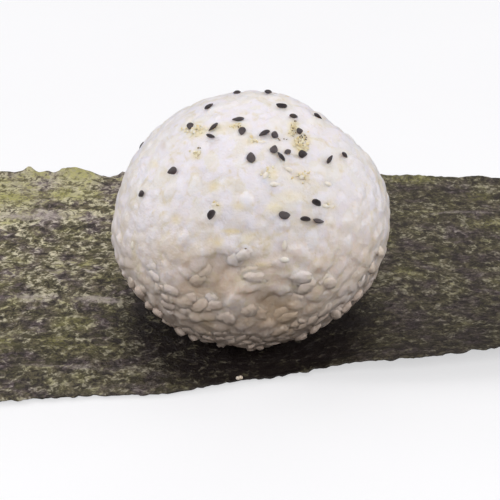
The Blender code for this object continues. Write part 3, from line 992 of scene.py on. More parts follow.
def finish_with(piece, kind, name, **settings):
    """Adds a modifier with its settings and applies it."""
    select_just(piece)
    modifier = piece.modifiers.new(name, kind)
    for setting, value in settings.items():
        setattr(modifier, setting, value)
    bpy.ops.object.modifier_apply(modifier=modifier.name)


pressed_rice = mesh_of("pressed_rice", core_ways * core_radius[:, None] + BALL_MIDDLE, core_faces)
laid_grains = joined("laid_grains", every_grain + BALL_MIDDLE, GRAIN_FACES, None)
select_just(laid_grains, pressed_rice)
bpy.ops.object.join()
finish_with(pressed_rice, "REMESH", "One skin", mode="VOXEL", voxel_size=VOXEL * MM)
finish_with(pressed_rice, "SMOOTH", "Starch in the grooves", factor=0.5, iterations=SMOOTHING_ROUNDS)
pressed_rice.data.shade_smooth()
pressed_rice.data.materials.append(pressed_finish.material)
print("pressed rice faces", len(pressed_rice.data.polygons))

# %% [markdown]
# ## Whose grain each corner is
#
# The new skin no longer knows its grains. So each of its corners finds the nearest grain again, which lets a
# whole grain have one tone, and how far off the next grain is, which tells where the grooves run. Where the
# rice is loose, the grooves are drawn in a little deeper, since there less starch fills them.

# %% Whose grain each corner is
GROOVE_WIDTH = 0.75
GROOVE_DEPTH = 0.06
BEADS_ASKED = 9

skin_points = np.empty(len(pressed_rice.data.vertices) * 3, np.float32)
pressed_rice.data.vertices.foreach_get("co", skin_points)
skin_points = skin_points.reshape(-1, 3) / MM - BALL_MIDDLE
beads = np.concatenate((packed_beads, filler_beads, seen_beads)).reshape(-1, 3)
bead_tree = KDTree(len(beads))
for number, bead in enumerate(beads):
    bead_tree.insert(bead, number // BEADS_ON_A_GRAIN)
bead_tree.balance()
owner = np.zeros(len(skin_points), int)
to_next = np.full(len(skin_points), GROOVE_WIDTH)
for number, point in enumerate(skin_points):
    near = bead_tree.find_n(point, BEADS_ASKED)
    owner[number] = near[0][1]
    to_next[number] = next((far - near[0][2] for _, grain, far in near if grain != near[0][1]), GROOVE_WIDTH)
grain_tone = draw.random(len(beads) // BEADS_ON_A_GRAIN)
groove = 1 - smooth_step(to_next / GROOVE_WIDTH)
skin_ways = unit(skin_points)
skin_points = skin_points - (GROOVE_DEPTH * groove * looseness(skin_ways))[:, None] * skin_ways
pressed_rice.data.vertices.foreach_set("co", ((skin_points + BALL_MIDDLE) * MM).astype(np.float32).ravel())
keep_values(pressed_rice.data, rice_values(skin_points, grain_tone[owner], groove))
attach(pressed_rice, "root")
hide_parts("rice_ball")
print("corners of the skin", len(skin_points), "of them in grooves", int((groove > 0.5).sum()))

# %% [markdown]
# ## Loose grains
#
# Low down nothing pressed the rice, so there the grains have edges of their own. Some never stuck fast: they
# lie on the skin, tipped more than the others. At the back and low on the sides chance lays them. It draws
# directions until enough of them fall where the rice is loose, which is simpler than working out that region.

# %% Loose grains
LOOSE_GRAINS = 110
LOWEST_LOOSE = -0.84
LOWEST_IN_FRONT = -0.60
HIGHEST_LOOSE = -0.25
LOOSE_LIFT = -0.75
LOOSE_LENGTHS = (3.8, 5.8)
LOOSE_WIDTHS = (2.5, 3.1)
LOOSE_TIPPED = 0.25
LOOSE_PROUD = 0.9
OUTSIDE = 60.0

rice_tree = tree_of(pressed_rice)
chance = random.Random(21)


def any_way(spread=1.0):
    """A vector of chance, as likely to point one way as another."""
    return Vector([chance.gauss(0, spread) for _ in range(3)])


def skin_along(way):
    """The point of the rice's skin that lies along a unit vector from the ball's middle."""
    return rice_tree.ray_cast(MIDDLE + OUTSIDE * way, -way)[0]


rows = []
while len(rows) < LOOSE_GRAINS:
    way = any_way().normalized()
    in_front = way.y < 0.0 and way.z > LOWEST_IN_FRONT
    if way.z < LOWEST_LOOSE or way.z > min(HIGHEST_LOOSE, chance.gauss(-0.5, 0.2)) or in_front:
        continue
    heading, length, width = any_way(), chance.uniform(*LOOSE_LENGTHS), chance.uniform(*LOOSE_WIDTHS)
    rows.append(standing_grain(skin_along(way), way, heading, length, width, LOOSE_LIFT))
middles, _, _, loose = standing_copies(rows, LOOSE_TIPPED, LOOSE_PROUD)
print("loose grains laid by chance", len(loose))

# %% [markdown]
# ## Loose grains on the outline
#
# A few loose grains stick out of the ball's outline like teeth, where they show more than anywhere else. Each
# row gives one grain's pixel and its lean, and its size is left to chance.

# %% Loose grains on the outline
LOOSE_SEEN = (
    (132, 282, 172), (140, 292, 168), (150, 306, 165), (158, 313, 110), (168, 322, 140),
    (180, 330, 120), (193, 336, 105), (210, 342, 110), (222, 345, 80), (240, 347, 100),
    (250, 350, 85), (258, 349, 60), (281, 345, 75), (300, 337, 50), (316, 328, 60),
    (336, 314, 170), (346, 307, 40), (357, 296, 30), (372, 268, 165), (380, 250, 10),
)
LOOSE_SEEN_LIFT = -0.15
LOOSE_SEEN_LENGTHS = (3.4, 4.6)
LOOSE_SEEN_WIDTH = 2.5
LOOSE_SEEN_TIPPED = 0.45
LOOSE_SEEN_PROUD = 1.1

rows = [(*seen, chance.uniform(*LOOSE_SEEN_LENGTHS), LOOSE_SEEN_WIDTH) for seen in LOOSE_SEEN]
rows = list(grains_at(rice_tree, rows, LOOSE_SEEN_LIFT))
middles_seen, _, _, loose_seen = standing_copies(rows, LOOSE_SEEN_TIPPED, LOOSE_SEEN_PROUD)
middles = np.concatenate((middles, middles_seen))
loose = np.concatenate((loose, loose_seen))
loose_tone = draw.random(len(loose)) * 0.7
print("loose grains", len(loose))

# %% [markdown]
# ## Crisp grains over the skin
#
# The skin has melted all rims away, but where the rice is loose a grain still shows its own. So the grains
# under the skin are laid over it once more there, a tenth of a millimetre proud. Noise leaves some clods out,
# where the starch has run together. With the loose grains they make one mesh.

# %% Crisp grains over the skin
CRISP_BAND = (0.25, 0.55)
CRISP_PATCH = 8.0
CRISP_CHANCE = 0.90
ALWAYS_CRISP_BELOW = -0.42
CRISP_RISE = (0.04, 0.12)
CRISP_DEPTH = 1.0

grain_middles = every_grain.mean(axis=1)
grain_ways = unit(grain_middles)
loose_here = looseness(grain_ways)
share = smooth_step((loose_here - CRISP_BAND[0]) / (CRISP_BAND[1] - CRISP_BAND[0]))
elsewhere = Vector((7, 3, 5))
field = [noise.noise(Vector(way) * (BALL_WIDTH / 2 / CRISP_PATCH) + elsewhere) for way in grain_ways]
patch = smooth_step((np.array(field) + 0.20) / 0.25)
patch = np.maximum(patch, smooth_step((ALWAYS_CRISP_BELOW - grain_ways[:, 2]) / 0.12))
crisp = draw.random(len(share)) < CRISP_CHANCE * share * patch
rise = draw.uniform(*CRISP_RISE, len(share))
crisp_grains = every_grain[crisp] + (rise[crisp, None] * grain_ways[crisp])[:, None, :]
loose = np.concatenate((loose, crisp_grains))
middles = np.concatenate((middles, grain_middles[crisp]))
tones = np.concatenate((loose_tone, grain_tone[crisp]))
height = (loose * unit(middles)[:, None, :]).sum(axis=2)
# The lower sides of each crisp grain take the groove colour: painted shade where the grain meets the skin.
depth = smooth_step((height.max(axis=1, keepdims=True) - height) / CRISP_DEPTH)
values = rice_values(middles, tones, np.zeros(len(middles)))
values["groove"] = depth * 0.3
loose_grains = joined("loose_grains", loose + BALL_MIDDLE, GRAIN_FACES, loose_finish, **values)
print("crisp grains", crisp.sum(), "faces of all that are loose or crisp", len(loose_grains.data.polygons))
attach(loose_grains, "root")
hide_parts("rice_ball")
rice_tree = tree_of(pressed_rice, loose_grains)

# %% [markdown]
# ## Black sesame
#
# A sesame seed is a flat drop about 3 mm long, pointed at one end, with a rim round its edge and a finely
# pitted skin. There are only a few dozen, and they are what the eye goes to, so each has more faces than a
# grain. It is shaped from rings as the grain is, then its rim is drawn out by flattening it above and below.

# %% Black sesame
SEED_LENGTH = 3.25
SEED_WIDTH = 2.0
SEED_THICKNESS = 1.0
SEED_SIDES = 16
SEED_RINGS = 10
SEED_FULLNESS = (0.94, 1.06, 1.08, 1.05, 0.96, 0.83, 0.69, 0.54, 0.38)

seed_model = ring_body("one_seed", SEED_SIDES, SEED_RINGS, SEED_FULLNESS)
only_selected(seed_model, lambda co: abs(co.z) > 0.12)
bpy.ops.transform.resize(value=(0.97, 0.86, 0.92), center_override=(-0.05, 0.0, 0.0))
bpy.ops.object.mode_set(mode="OBJECT")
SEED_CORNERS, SEED_FACES = taken_apart(seed_model)
print("one seed has", len(SEED_FACES), "faces")

# %% [markdown]
# ## How a seed lies
#
# A seed that drops on rice lies flat, leans on its edge against a grain, or is tipped with its tail up. A
# roll about its length and a tip at its tail lay it in each of these ways, and the more it leans, the higher
# its middle is. How long and how wide it looks to the camera follows from its three axes, without a render.

# %% How a seed lies
SEED_LIFT = 0.1


def seed_row(place, outward, heading, length, roll, pitch, lift=SEED_LIFT):
    """A seed's middle, outward way, heading and sizes, rolled about its length and tipped at its tail."""
    front = (heading - heading.dot(outward) * outward).normalized()
    side = outward.cross(front)
    flat = outward * math.cos(roll) + side * math.sin(roll)
    turn = Matrix.Rotation(pitch, 3, side)
    stands = 0.5 * (SEED_WIDTH - SEED_THICKNESS) * abs(math.sin(roll)) + 0.3 * length * abs(math.sin(pitch))
    middle = place - MIDDLE + (lift + 0.6 * stands) * outward
    return middle, turn @ flat, turn @ front, (length, SEED_WIDTH * length / SEED_LENGTH, SEED_THICKNESS)


def looks_from(row, scale, lean):
    """Pixels that a seed seems long along its lean, wide across it, and skewed out of that lean."""
    turn = math.radians(lean)
    drawn = math.sin(turn) * RIGHT + math.cos(turn) * UP
    aside = math.cos(turn) * RIGHT - math.sin(turn) * UP
    _, flat, front, (length, width, thickness) = row
    axes = (length * front, width * flat.cross(front), thickness * flat)
    long, wide = (scale * math.sqrt(sum(axis.dot(way) ** 2 for axis in axes)) for way in (drawn, aside))
    skew = scale**2 * sum(axis.dot(drawn) * axis.dot(aside) for axis in axes) / long
    return long, wide, skew


print("a seed on its edge stands", SEED_WIDTH, "mm high, and a flat one", SEED_THICKNESS, "mm")

# %% [markdown]
# ## Seeds laid as the photograph shows them
#
# Each row gives a seed's pixel, the lean of its point, and how long and wide it looks. A seed that looks
# narrow lies rolled on its edge, and one that looks short is tipped. So each is tried at many rolls and tips,
# and the one that looks most like the picture with the least turning is kept.

# %% Seeds laid as the photograph shows them
SEEDS_SEEN = (
    (209, 106, 55, 9, 4), (281, 107, -90, 11, 6), (190, 126, 190, 8, 8), (213, 127, 225, 11, 4.5),
    (211, 136, 115, 9, 4), (238, 119, 260, 9.5, 5), (242, 131, 190, 9, 8), (264, 133, 235, 12, 6.5),
    (275, 135, 145, 8.5, 6.5), (294, 116, 90, 7, 4), (300, 131, 70, 7, 6), (274, 149, 20, 10, 8),
    (281, 156, -25, 11, 5), (288, 152, 170, 7, 7), (303, 154, 80, 9.5, 7), (251, 157, 0, 12, 8),
    (330, 159, 40, 10, 4.5), (172, 171, -105, 10, 8), (141, 194, 235, 7, 5.5), (211, 215, 205, 11, 7),
    (345, 155, 120, 5.5, 3.5), (318, 116, 120, 4.5, 3),
    (285, 215, 80, 13, 8), (306, 219, 105, 11, 6), (319, 221, 95, 11, 5.5), (317, 203, 125, 11, 6),
)
SEEDS_END_ON = ((237, 92.5, 0.10), (268, 93, 0.40))
SEED_TURNS = [number / 10 for number in range(-11, 12, 2)]


def aimed_again(across, down, made):
    """What made(across, down) gives, when its middle is brought back to that pixel after its lift."""
    aim_across, aim_down = across, down
    for _ in range(3):
        row = made(aim_across, aim_down)
        shown_across, shown_down = (float(shown) for shown in pixel_of(row[0]))
        aim_across, aim_down = aim_across + across - shown_across, aim_down + down - shown_down
    return row


def seed_as_seen(across, down, lean, seen_length, seen_width):
    """A seed where the photograph shows it, turned so that it looks as long and as wide as it does there."""
    length = SEED_LENGTH * chance.uniform(0.96, 1.04) * min(1.08, max(0.7, 0.42 + seen_length / 19))

    def made(across, down):
        place, outward, heading, scale = seen_on_skin(rice_tree, across, down, lean)
        best = None
        for roll in SEED_TURNS:
            for pitch in SEED_TURNS:
                row = seed_row(place, outward, heading, length, roll, pitch)
                long, wide, skew = looks_from(row, scale, lean)
                miss = (long - seen_length) ** 2 + (wide - seen_width) ** 2 + skew**2
                miss += 1.5 * (roll**2 + pitch**2)
                if best is None or miss < best[0]:
                    best = (miss, row)
        return best[1]

    return aimed_again(across, down, made)


def seed_end_on(across, down, lift):
    """A flat seed on the outline, which points away from the camera, so that only its width shows."""
    place, outward, _, _ = seen_on_skin(rice_tree, across, down, 0)
    return seed_row(place, outward, place - EYE_POINT, SEED_LENGTH, 0.0, 0.0, lift)


rows = [seed_as_seen(*seed) for seed in SEEDS_SEEN] + [seed_end_on(*seed) for seed in SEEDS_END_ON]
print("seeds that show", len(rows))

# %% [markdown]
# ## Seeds on the far side
#
# Nobody has seen the far side, but whoever sprinkled the seeds didn't stop at the outline. Fewer fell there,
# so a dozen are laid by chance where the camera can't see them. The same places serve for white seeds and
# crumbs later on.

# %% Seeds on the far side
FAR_SEEDS = 12
HIDDEN_BELOW = -0.18
FAR_SEED_CLIMB = (10, 50)
FAR_SEED_LENGTHS = (2.9, 3.4)


def far_places(count, climbs):
    """Places of the skin that the camera can't see, in no order, and the outward way at each."""
    found = 0
    while found < count:
        way = Vector(direction(chance.uniform(100, 260), chance.uniform(*climbs)))
        place = skin_along(way)
        if way.dot((EYE_POINT - place).normalized()) < HIDDEN_BELOW:
            found += 1
            yield place, way


def far_seeds(count, lift):
    """Rows of seeds over the far side, which nobody has seen, so chance lays them."""
    for place, way in far_places(count, FAR_SEED_CLIMB):
        heading, length = any_way(), chance.uniform(*FAR_SEED_LENGTHS)
        yield seed_row(place, way, heading, length, chance.gauss(0, 0.4), 0.0, lift)


def laid_rows(corners, rows):
    """Copies of a kernel for rows of a middle, an outward way, a heading and sizes."""
    return laid_copies(corners, *columns_of(rows)) + BALL_MIDDLE


rows += far_seeds(FAR_SEEDS, SEED_LIFT)
print("black sesame seeds in all", len(rows))

# %% [markdown]
# ## The finish of the black sesame
#
# A black seed is a worn dark brown, not ink: the bran is rubbed grey on its high places, by another amount on
# each seed, and it is pitted all over. One noise makes the worn patches and a finer one the pits, which also
# feed the bump and the roughness, so that the small highlights break up.

# %% The finish of the black sesame
SEED_BLACK = (0.020, 0.015, 0.019)
SEED_WORN = (0.115, 0.093, 0.092)
SEED_PIT = (0.14, 0.12, 0.10)

black_finish = Finish("black_sesame_skin", IOR=1.40)
places = black_finish.places()
pits = black_finish.grainy(places, 0.18, 2.0, 0.6)
patches = black_finish.grainy(places, 1.4)
worn = black_finish.own_value("tone")
colour = black_finish.blend(SEED_BLACK, SEED_WORN, patches * 0.9 + worn * 0.5 - 0.25)
colour = black_finish.blend(colour, SEED_PIT, black_finish.between(pits, 0.55, 0.8) * 0.5)
bump = black_finish.bump(pits, 0.7, 0.08)
black_finish.feed(Base_Color=colour, Roughness=0.38 + pits * 0.25, Normal=bump)
seeds = laid_rows(SEED_CORNERS, rows)
black_sesame = joined("black_sesame", seeds, SEED_FACES, black_finish, tone=draw.random(len(rows)))
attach(black_sesame, "root")
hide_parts("rice_ball")
print("black sesame finish nodes", len(black_finish.tree.nodes))

# %% [markdown]
# ## White sesame
#
# Between the black seeds lie white ones, hard to tell from the rice but for their pointed shape and a
# creamier colour. They are the same seed with another finish. Most of them lie on edge or are half pressed
# into the rice, so they look like slivers.

# %% White sesame
WHITE_SEEN = (
    (275, 184, 90), (286, 260, 88), (285, 245, 0), (291, 170, 110), (303, 176, 60), (329, 184, 105),
    (266, 175, 20), (326, 206, 90), (215, 204, 60), (132, 246, 0), (193, 131, 120), (262, 142, 80),
)
WHITE_LIFT = -0.22
WHITE_WIDTH = 1.4
WHITE_THICKNESS = 0.9
WHITE_LENGTHS = (2.3, 2.8)
FAR_WHITE_SEEDS = 12
WHITE_SEED = (0.92, 0.86, 0.77)
WHITE_SEED_PATCH = (0.86, 0.77, 0.63)
WHITE_SEED_PIT = (0.80, 0.70, 0.54)

rows = list(far_seeds(FAR_WHITE_SEEDS, WHITE_LIFT))
for across, down, lean in WHITE_SEEN:
    place, outward, heading, _ = seen_on_skin(rice_tree, across, down, lean)
    length, roll = chance.uniform(*WHITE_LENGTHS), chance.gauss(0, 0.2)
    rows.append(seed_row(place, outward, heading, length, roll, 0.0, WHITE_LIFT))
rows = [(*row[:3], (row[3][0], WHITE_WIDTH, WHITE_THICKNESS)) for row in rows]
white_finish = soft_finish("white_sesame_skin", 0.3, 0.5)
places = white_finish.places()
pits = white_finish.grainy(places, 0.2, 2.0, 0.6)
colour = white_finish.blend(WHITE_SEED, WHITE_SEED_PATCH, white_finish.spots(places, 1.1, 0.42, 0.75))
colour = white_finish.blend(colour, WHITE_SEED_PIT, white_finish.between(pits, 0.60, 0.85) * 0.3)
bump = white_finish.bump(pits, 0.5, 0.06)
white_finish.feed(Base_Color=colour, Roughness=0.55 + pits * 0.2, Normal=bump)
white_sesame = joined("white_sesame", laid_rows(SEED_CORNERS, rows), SEED_FACES, white_finish)
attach(white_sesame, "root")
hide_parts("rice_ball")
print("white sesame seeds", len(rows))

# %% [markdown]
# ## One crumb
#
# Near the top there are a few pinches of golden crumbs, some of them toasted brown. Each is a rough little
# flake, no bigger than a millimetre. One ball of few faces is dented at random in Edit Mode, and its copies
# are stretched and turned, so that no two look alike.

# %% One crumb
bpy.ops.object.select_all(action="DESELECT")
bpy.ops.mesh.primitive_ico_sphere_add(subdivisions=2, radius=0.5)
crumb_model = bpy.context.object
bpy.ops.object.mode_set(mode="EDIT")
bpy.ops.mesh.select_all(action="SELECT")
bpy.ops.transform.vertex_random(offset=0.14, uniform=0.4, normal=0.6, seed=3)
bpy.ops.object.mode_set(mode="OBJECT")
CRUMB_CORNERS, CRUMB_FACES = taken_apart(crumb_model)
print("one crumb has", len(CRUMB_FACES), "faces")

# %% [markdown]
# ## Golden and toasted crumbs
#
# Fingers drop crumbs in pinches. Each row of pixels gives one pinch: its middle, how far it spreads across
# and down, and how many crumbs are in it. A particle system could scatter them too, but a pinch is easier to
# aim with a row of numbers. The far side gets a few pinches more, laid by chance.

# %% Golden and toasted crumbs
PINCHES_SEEN = (
    (301, 143, 5.5, 8.0, 62), (294, 126, 3.5, 3.5, 18), (292, 133, 4.0, 2.5, 14), (237, 126, 6.0, 1.8, 14),
    (195, 130, 8.0, 5.0, 30), (196, 154, 4.0, 3.0, 12), (254, 141, 5.0, 3.0, 10), (268, 173, 3.0, 6.0, 10),
    (302, 178, 7.0, 6.0, 16), (216, 205, 3.0, 2.5, 6), (331, 206, 3.0, 3.0, 4),
)
TOASTED_SEEN = (
    (301, 143, 4.0, 7.0, 22), (293, 131, 2.5, 5.0, 9), (237, 126, 4.0, 1.2, 4), (282, 139, 3.0, 2.0, 4),
    (295, 121, 0.8, 1.2, 3), (305, 138, 0.8, 2.4, 5), (246, 249, 0.7, 1.2, 3), (200, 148, 2.8, 0.7, 5),
)
FAR_PINCHES = 7
CRUMBS_IN_FAR_PINCH = 16
TOASTED_IN_FAR_PINCH = 4
CRUMB = (0.35, 0.95)
TOASTED_CRUMB = (0.28, 0.55)
GOLDEN_TONES = ((0.93, 0.84, 0.60), (0.82, 0.67, 0.38))
TOASTED_TONES = ((0.36, 0.26, 0.12), (0.11, 0.075, 0.04))


def crumb_row(place, size):
    """A crumb at a place of the skin, at any turn, flat or long by chance."""
    outward = (place - MIDDLE).normalized()
    tilt = (outward + 0.5 * any_way(0.6)).normalized()
    heading = any_way()
    length = chance.uniform(*size)
    sizes = (length, length * chance.uniform(0.5, 0.9), length * chance.uniform(0.3, 0.6))
    return place - MIDDLE + 0.25 * sizes[2] * outward, tilt, heading, sizes


def crumbs_seen(pinches, size):
    for across, down, spread_across, spread_down, count in pinches:
        for _ in range(count):
            a, b = chance.gauss(across, spread_across / 1.6), chance.gauss(down, spread_down / 1.6)
            yield crumb_row(seen_on_skin(rice_tree, a, b, 0)[0], size)


def crumbs_on_far_side(count, size):
    for _, middle in far_places(FAR_PINCHES, FAR_SEED_CLIMB):
        for _ in range(count):
            yield crumb_row(skin_along((middle + 0.05 * any_way()).normalized()), size)


def crumb_piece(name, rows, light, dark, reach):
    """One mesh of crumbs whose colour runs from light to dark by the crumb."""
    finish = soft_finish(name, 0.35, reach)
    own = finish.own_value("tone")
    grain = finish.grainy(finish.places(), 0.3, 2.0)
    finish.feed(
        Base_Color=finish.blend(light, dark, finish.between(own * 0.8 + grain * 0.4, 0.3, 1.0)),
        Roughness=0.45 + grain * 0.25,
    )
    piece = joined(name, laid_rows(CRUMB_CORNERS, rows), CRUMB_FACES, finish, tone=draw.random(len(rows)))
    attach(piece, "root")
    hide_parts("rice_ball")
    print(name, len(rows))


rows = [*crumbs_seen(PINCHES_SEEN, CRUMB), *crumbs_on_far_side(CRUMBS_IN_FAR_PINCH, CRUMB)]
crumb_piece("golden_crumbs", rows, *GOLDEN_TONES, 0.5)
rows = [*crumbs_seen(TOASTED_SEEN, TOASTED_CRUMB), *crumbs_on_far_side(TOASTED_IN_FAR_PINCH, TOASTED_CRUMB)]
crumb_piece("toasted_crumbs", rows, *TOASTED_TONES, 0.2)

# %% [markdown]
# ## The form of the strip
#
# The strip is half a sheet of nori. It is cut a little askew, its far edge curls up most at the left, and
# its front edge lifts towards the right. As with the ball, the solid's own sizes are used again.

# %% The form of the strip
STRIP_LENGTH = 190.0
FAR_EDGE = 54.0
FRONT_EDGE = -46.2
FRONT_SLOPE = 0.066
FRONT_STEP = 1.7
FRONT_STEP_X = -12.0
FRONT_STEP_LENGTH = 10.0
EDGE_WANDER = 0.5
FAR_LIFT = (4.6, 1.6)
FRONT_LIFT = 9.5
FRONT_LIFT_FROM_X = -16.0
LEFT_FRONT_LIFT = 0.9
CURL_REACH = 34.0
WAVE_HEIGHT = 0.8
WAVE_LENGTH = 37.0
WAVE_CREST = 34.0
WAVE_SLANT = 5.0
PRESSED_RADIUS = 21.0
PRESSED_FADE = 19.0


def strip_edges(x):
    """The y of the strip's front and far edge at x, before the outline is centred."""
    front = FRONT_EDGE + FRONT_SLOPE * x + FRONT_STEP * np.tanh((x - FRONT_STEP_X) / FRONT_STEP_LENGTH)
    front = front + EDGE_WANDER * np.sin(x / 9.0)
    far = FAR_EDGE + EDGE_WANDER * np.sin(x / 13.0) * np.cos(x / 31.0)
    return front, far


def from_ball(x, y):
    """Millimetres from the upright line through the ball's middle, before the outline is centred."""
    return np.hypot(x - BALL_MIDDLE[0], y - (BALL_MIDDLE[1] - OUTLINE_SHIFT))


def strip_height(x, y):
    """Height of the strip's underside: flat where the ball presses it down, wavy and curled around that."""
    front, far = strip_edges(x)
    along = x / STRIP_LENGTH + 0.5
    at_far_edge = FAR_LIFT[0] + (FAR_LIFT[1] - FAR_LIFT[0]) * along
    rising = np.maximum(0.0, (x - FRONT_LIFT_FROM_X) / (STRIP_LENGTH / 2 - FRONT_LIFT_FROM_X))
    at_front_edge = FRONT_LIFT * rising**0.8 + LEFT_FRONT_LIFT * smooth_step(1 - 2 * along)
    lift = at_far_edge * np.maximum(0.0, 1 - (far - y) / CURL_REACH) ** 1.6
    lift += at_front_edge * np.maximum(0.0, 1 - (y - front) / CURL_REACH) ** 1.4
    wave = np.cos(2 * math.pi * (y - WAVE_CREST + WAVE_SLANT * along) / WAVE_LENGTH)
    lift += WAVE_HEIGHT * (1 + wave) / 2
    return lift * smooth_step((from_ball(x, y) - PRESSED_RADIUS) / PRESSED_FADE)


ends = np.array((-STRIP_LENGTH / 2, STRIP_LENGTH / 2))
lifts = [strip_height(ends, edge).round(1).tolist() for edge in strip_edges(ends)]
print("lift at the left and right end: front edge", lifts[0], "far edge", lifts[1], "mm")

# %% [markdown]
# ## Streaks and green patches
#
# Some marks on the leaf are too large and too well placed for chance: pale streaks along the ridges where the
# mat pressed the fibres together, partly painted sheen on the ridges, dark ones beside them, partly painted
# shade, and yellow green patches where the leaf is thin. Each row of millimetres gives one: the middle and
# half the length along X, the middle and half the width along Y, and the strength, below 0 where the mark is
# dark. Noise wavers and frays them, as a dry brush would.

# %% Streaks and green patches
STREAKS_AND_SHEEN = (
    (-70, 24, 30.3, 2.1, 1), (-58, 16, 34.8, 1.8, -0.8), (-60, 13, 24.6, 1.5, -0.9),
    (-66, 9, -10.8, 1.2, 1), (-41.5, 6.5, -11.4, 1.5, 1), (-53, 30, -12, 1, 0.4),
    (-41, 18, -40.3, 1.1, 0.8), (-51, 8, -38, 1.4, -0.7), (-48, 12, -17.5, 1.6, -0.5),
    (-38, 16, -46.5, 1.4, 0.35), (67, 15, 33, 0.8, 0.8), (57, 9, 44.5, 3.4, -0.7),
    (-84, 10, 1, 1.2, 0.7), (-70, 10, 48, 2.6, 0.8), (-55, 20, 1.5, 0.9, 0.5),
    (-20, 14, -42.5, 1, 0.4), (64, 20, 4, 0.9, 0.4), (72, 18, -16, 1, 0.4),
    (-88, 8, -27.5, 1.4, 0.8),
)
GREEN_PATCHES = (
    (-76, 9, 41, 4.5, 1), (-62, 4, 44, 3, 0.8), (-57, 6.5, 52, 3.6, 1),
    (-88, 8, 36, 5, 0.9), (53, 9, 53, 2.6, 0.9), (73, 5, 43, 3, 0.6),
    (75, 7, 27, 3, 0.6), (41, 3, 17.5, 5, 0.7), (44, 3, 1.5, 2, 0.8),
    (-48, 6, -22, 3, 0.6), (-52, 5, -29, 2.5, 0.7), (-66, 4, -31, 3.5, 0.8),
    (-46, 7, -32.5, 2.5, 0.6), (-80, 12, 54, 2.5, 0.6), (-48, 2, 6, 3, 0.8),
    (-68, 5, -4, 2, 0.6), (-36, 5, 53, 2, 0.7), (-85, 13, 49, 3, 0.5),
    (-55, 12, 41, 2.5, 0.5),
)


def rough(x, y, size, stretch=1.0, octaves=3):
    """Noise about -1 to 1 over the leaf, with blotches of size millimetres, stretched along X."""
    values = [
        noise.fractal(Vector((a / size / stretch, b / size, size)), 0.8, 2.0, octaves) for a, b in zip(x, y)
    ]
    return np.array(values)


def marked_on_leaf(marks, x, y):
    """The sum of soft uneven marks, each given by x, half a length, y, half a width and a strength."""
    waver = rough(x, np.zeros_like(x) + 70, 20.0)
    fray = 0.80 + 0.8 * rough(x, y, 5.0, 2.0)
    total = np.zeros_like(x)
    for mark_x, half_length, mark_y, half_width, strength in marks:
        far = ((x - mark_x) / half_length) ** 4 + ((y - mark_y - 1.2 * waver) / half_width) ** 2
        total += strength * np.exp(-far) * np.clip(fray, 0, 1.2)
    return total


print("streaks", len(STREAKS_AND_SHEEN), "green patches", len(GREEN_PATCHES))

# %% [markdown]
# ## The leaf of nori
#
# Nori is made like paper: chopped seaweed is drained on a mat and dried, so the sheet is a felt of short
# fibres, blistered all over, with low ridges along the mat's slats. It starts as a flat grid. Its edges are
# torn a little by noise that dies out within a few millimetres. Cloth physics could curl a sheet by itself,
# but it can't be told where, so the form comes from sums.

# %% The leaf of nori
LEAF_CELLS = (264, 140)
RAGGED = 0.7
RAGGED_SIZE = 3.0
RAGGED_DEPTH = 1.5

bpy.ops.object.select_all(action="DESELECT")
bpy.ops.mesh.primitive_grid_add(x_subdivisions=LEAF_CELLS[0], y_subdivisions=LEAF_CELLS[1], size=1.0)
nori_leaf = bpy.context.object
nori_leaf.name = nori_leaf.data.name = "nori_leaf"
flat = np.array([vert.co[:] for vert in nori_leaf.data.vertices])
x = flat[:, 0] * STRIP_LENGTH
front, far = strip_edges(x)
share = flat[:, 1] + 0.5
to_edge = np.minimum(share, 1 - share) * (far - front)
to_end = (0.5 - np.abs(flat[:, 0])) * STRIP_LENGTH
ragged_y = rough(x, np.zeros_like(x) + 9 * (share > 0.5), RAGGED_SIZE) * np.exp(-to_edge / RAGGED_DEPTH)
ragged_x = rough(share * 97, np.sign(x) * 40, RAGGED_SIZE) * np.exp(-to_end / RAGGED_DEPTH)
y = front + (far - front) * share
print("corners of the flat leaf", len(flat))

# %% [markdown]
# ## Ridges, blisters and tufts
#
# What shows from the side has to be part of the mesh: long ridges where the mat's slats were, blisters and
# buckles from drying, and small tufts that stand up on the far edge. All of them are heights that are added
# up for each corner. Under the ball the weight of the rice has pressed the leaf smooth.

# %% Ridges, blisters and tufts
RIDGES = ((32.5, 0.50, 1.5), (1.0, 0.32, 1.3), (-12.0, 0.42, 1.5), (-27.5, 0.26, 1.2), (-40.0, 0.36, 1.4))
BLISTER_SIZE = 1.7
BLISTER_HEIGHT = 0.24
BUCKLE_SIZE = 9.0
BUCKLE_HEIGHT = 0.35
SMOOTH_UNDER_BALL = 17.5
FAR_TUFTS = (
    (-73.3, 1.9, 2.4), (-58.5, 4.8, 2.1), (-42.5, 1.3, 0.8), (-47.5, 4.0, -1.6), (-67.5, 1.2, 0.5),
    (43.5, 1.2, 0.9), (51.5, 6.0, 0.8), (-92.0, 2.5, 0.5), (77.0, 4.0, 0.5),
)
TUFT_DEPTH = 1.6

height = strip_height(x, y)
clear_of_ball = smooth_step((from_ball(x, y) - SMOOTH_UNDER_BALL) / 6.0)
relief = BLISTER_HEIGHT * rough(x, y, BLISTER_SIZE, 1.7, 2) * (0.15 + 0.85 * clear_of_ball)
for ridge_y, ridge_height, half_width in RIDGES:
    waver = 1.6 * rough(x, np.zeros_like(x) + ridge_y, 22.0)
    strength = np.clip(0.55 + 0.8 * rough(x, np.zeros_like(x) + ridge_y + 50, 15.0), 0, 1.2)
    relief += ridge_height * strength * np.exp(-(((y - ridge_y - waver) / half_width) ** 2)) * clear_of_ball
relief += BUCKLE_HEIGHT * rough(x, y, BUCKLE_SIZE, 1.5) * clear_of_ball
from_far_edge = (1 - share) * (far - front)
for tuft_x, half_length, tuft_height in FAR_TUFTS:
    relief += tuft_height * np.exp(-(((x - tuft_x) / half_length) ** 2) - (from_far_edge / TUFT_DEPTH) ** 2)
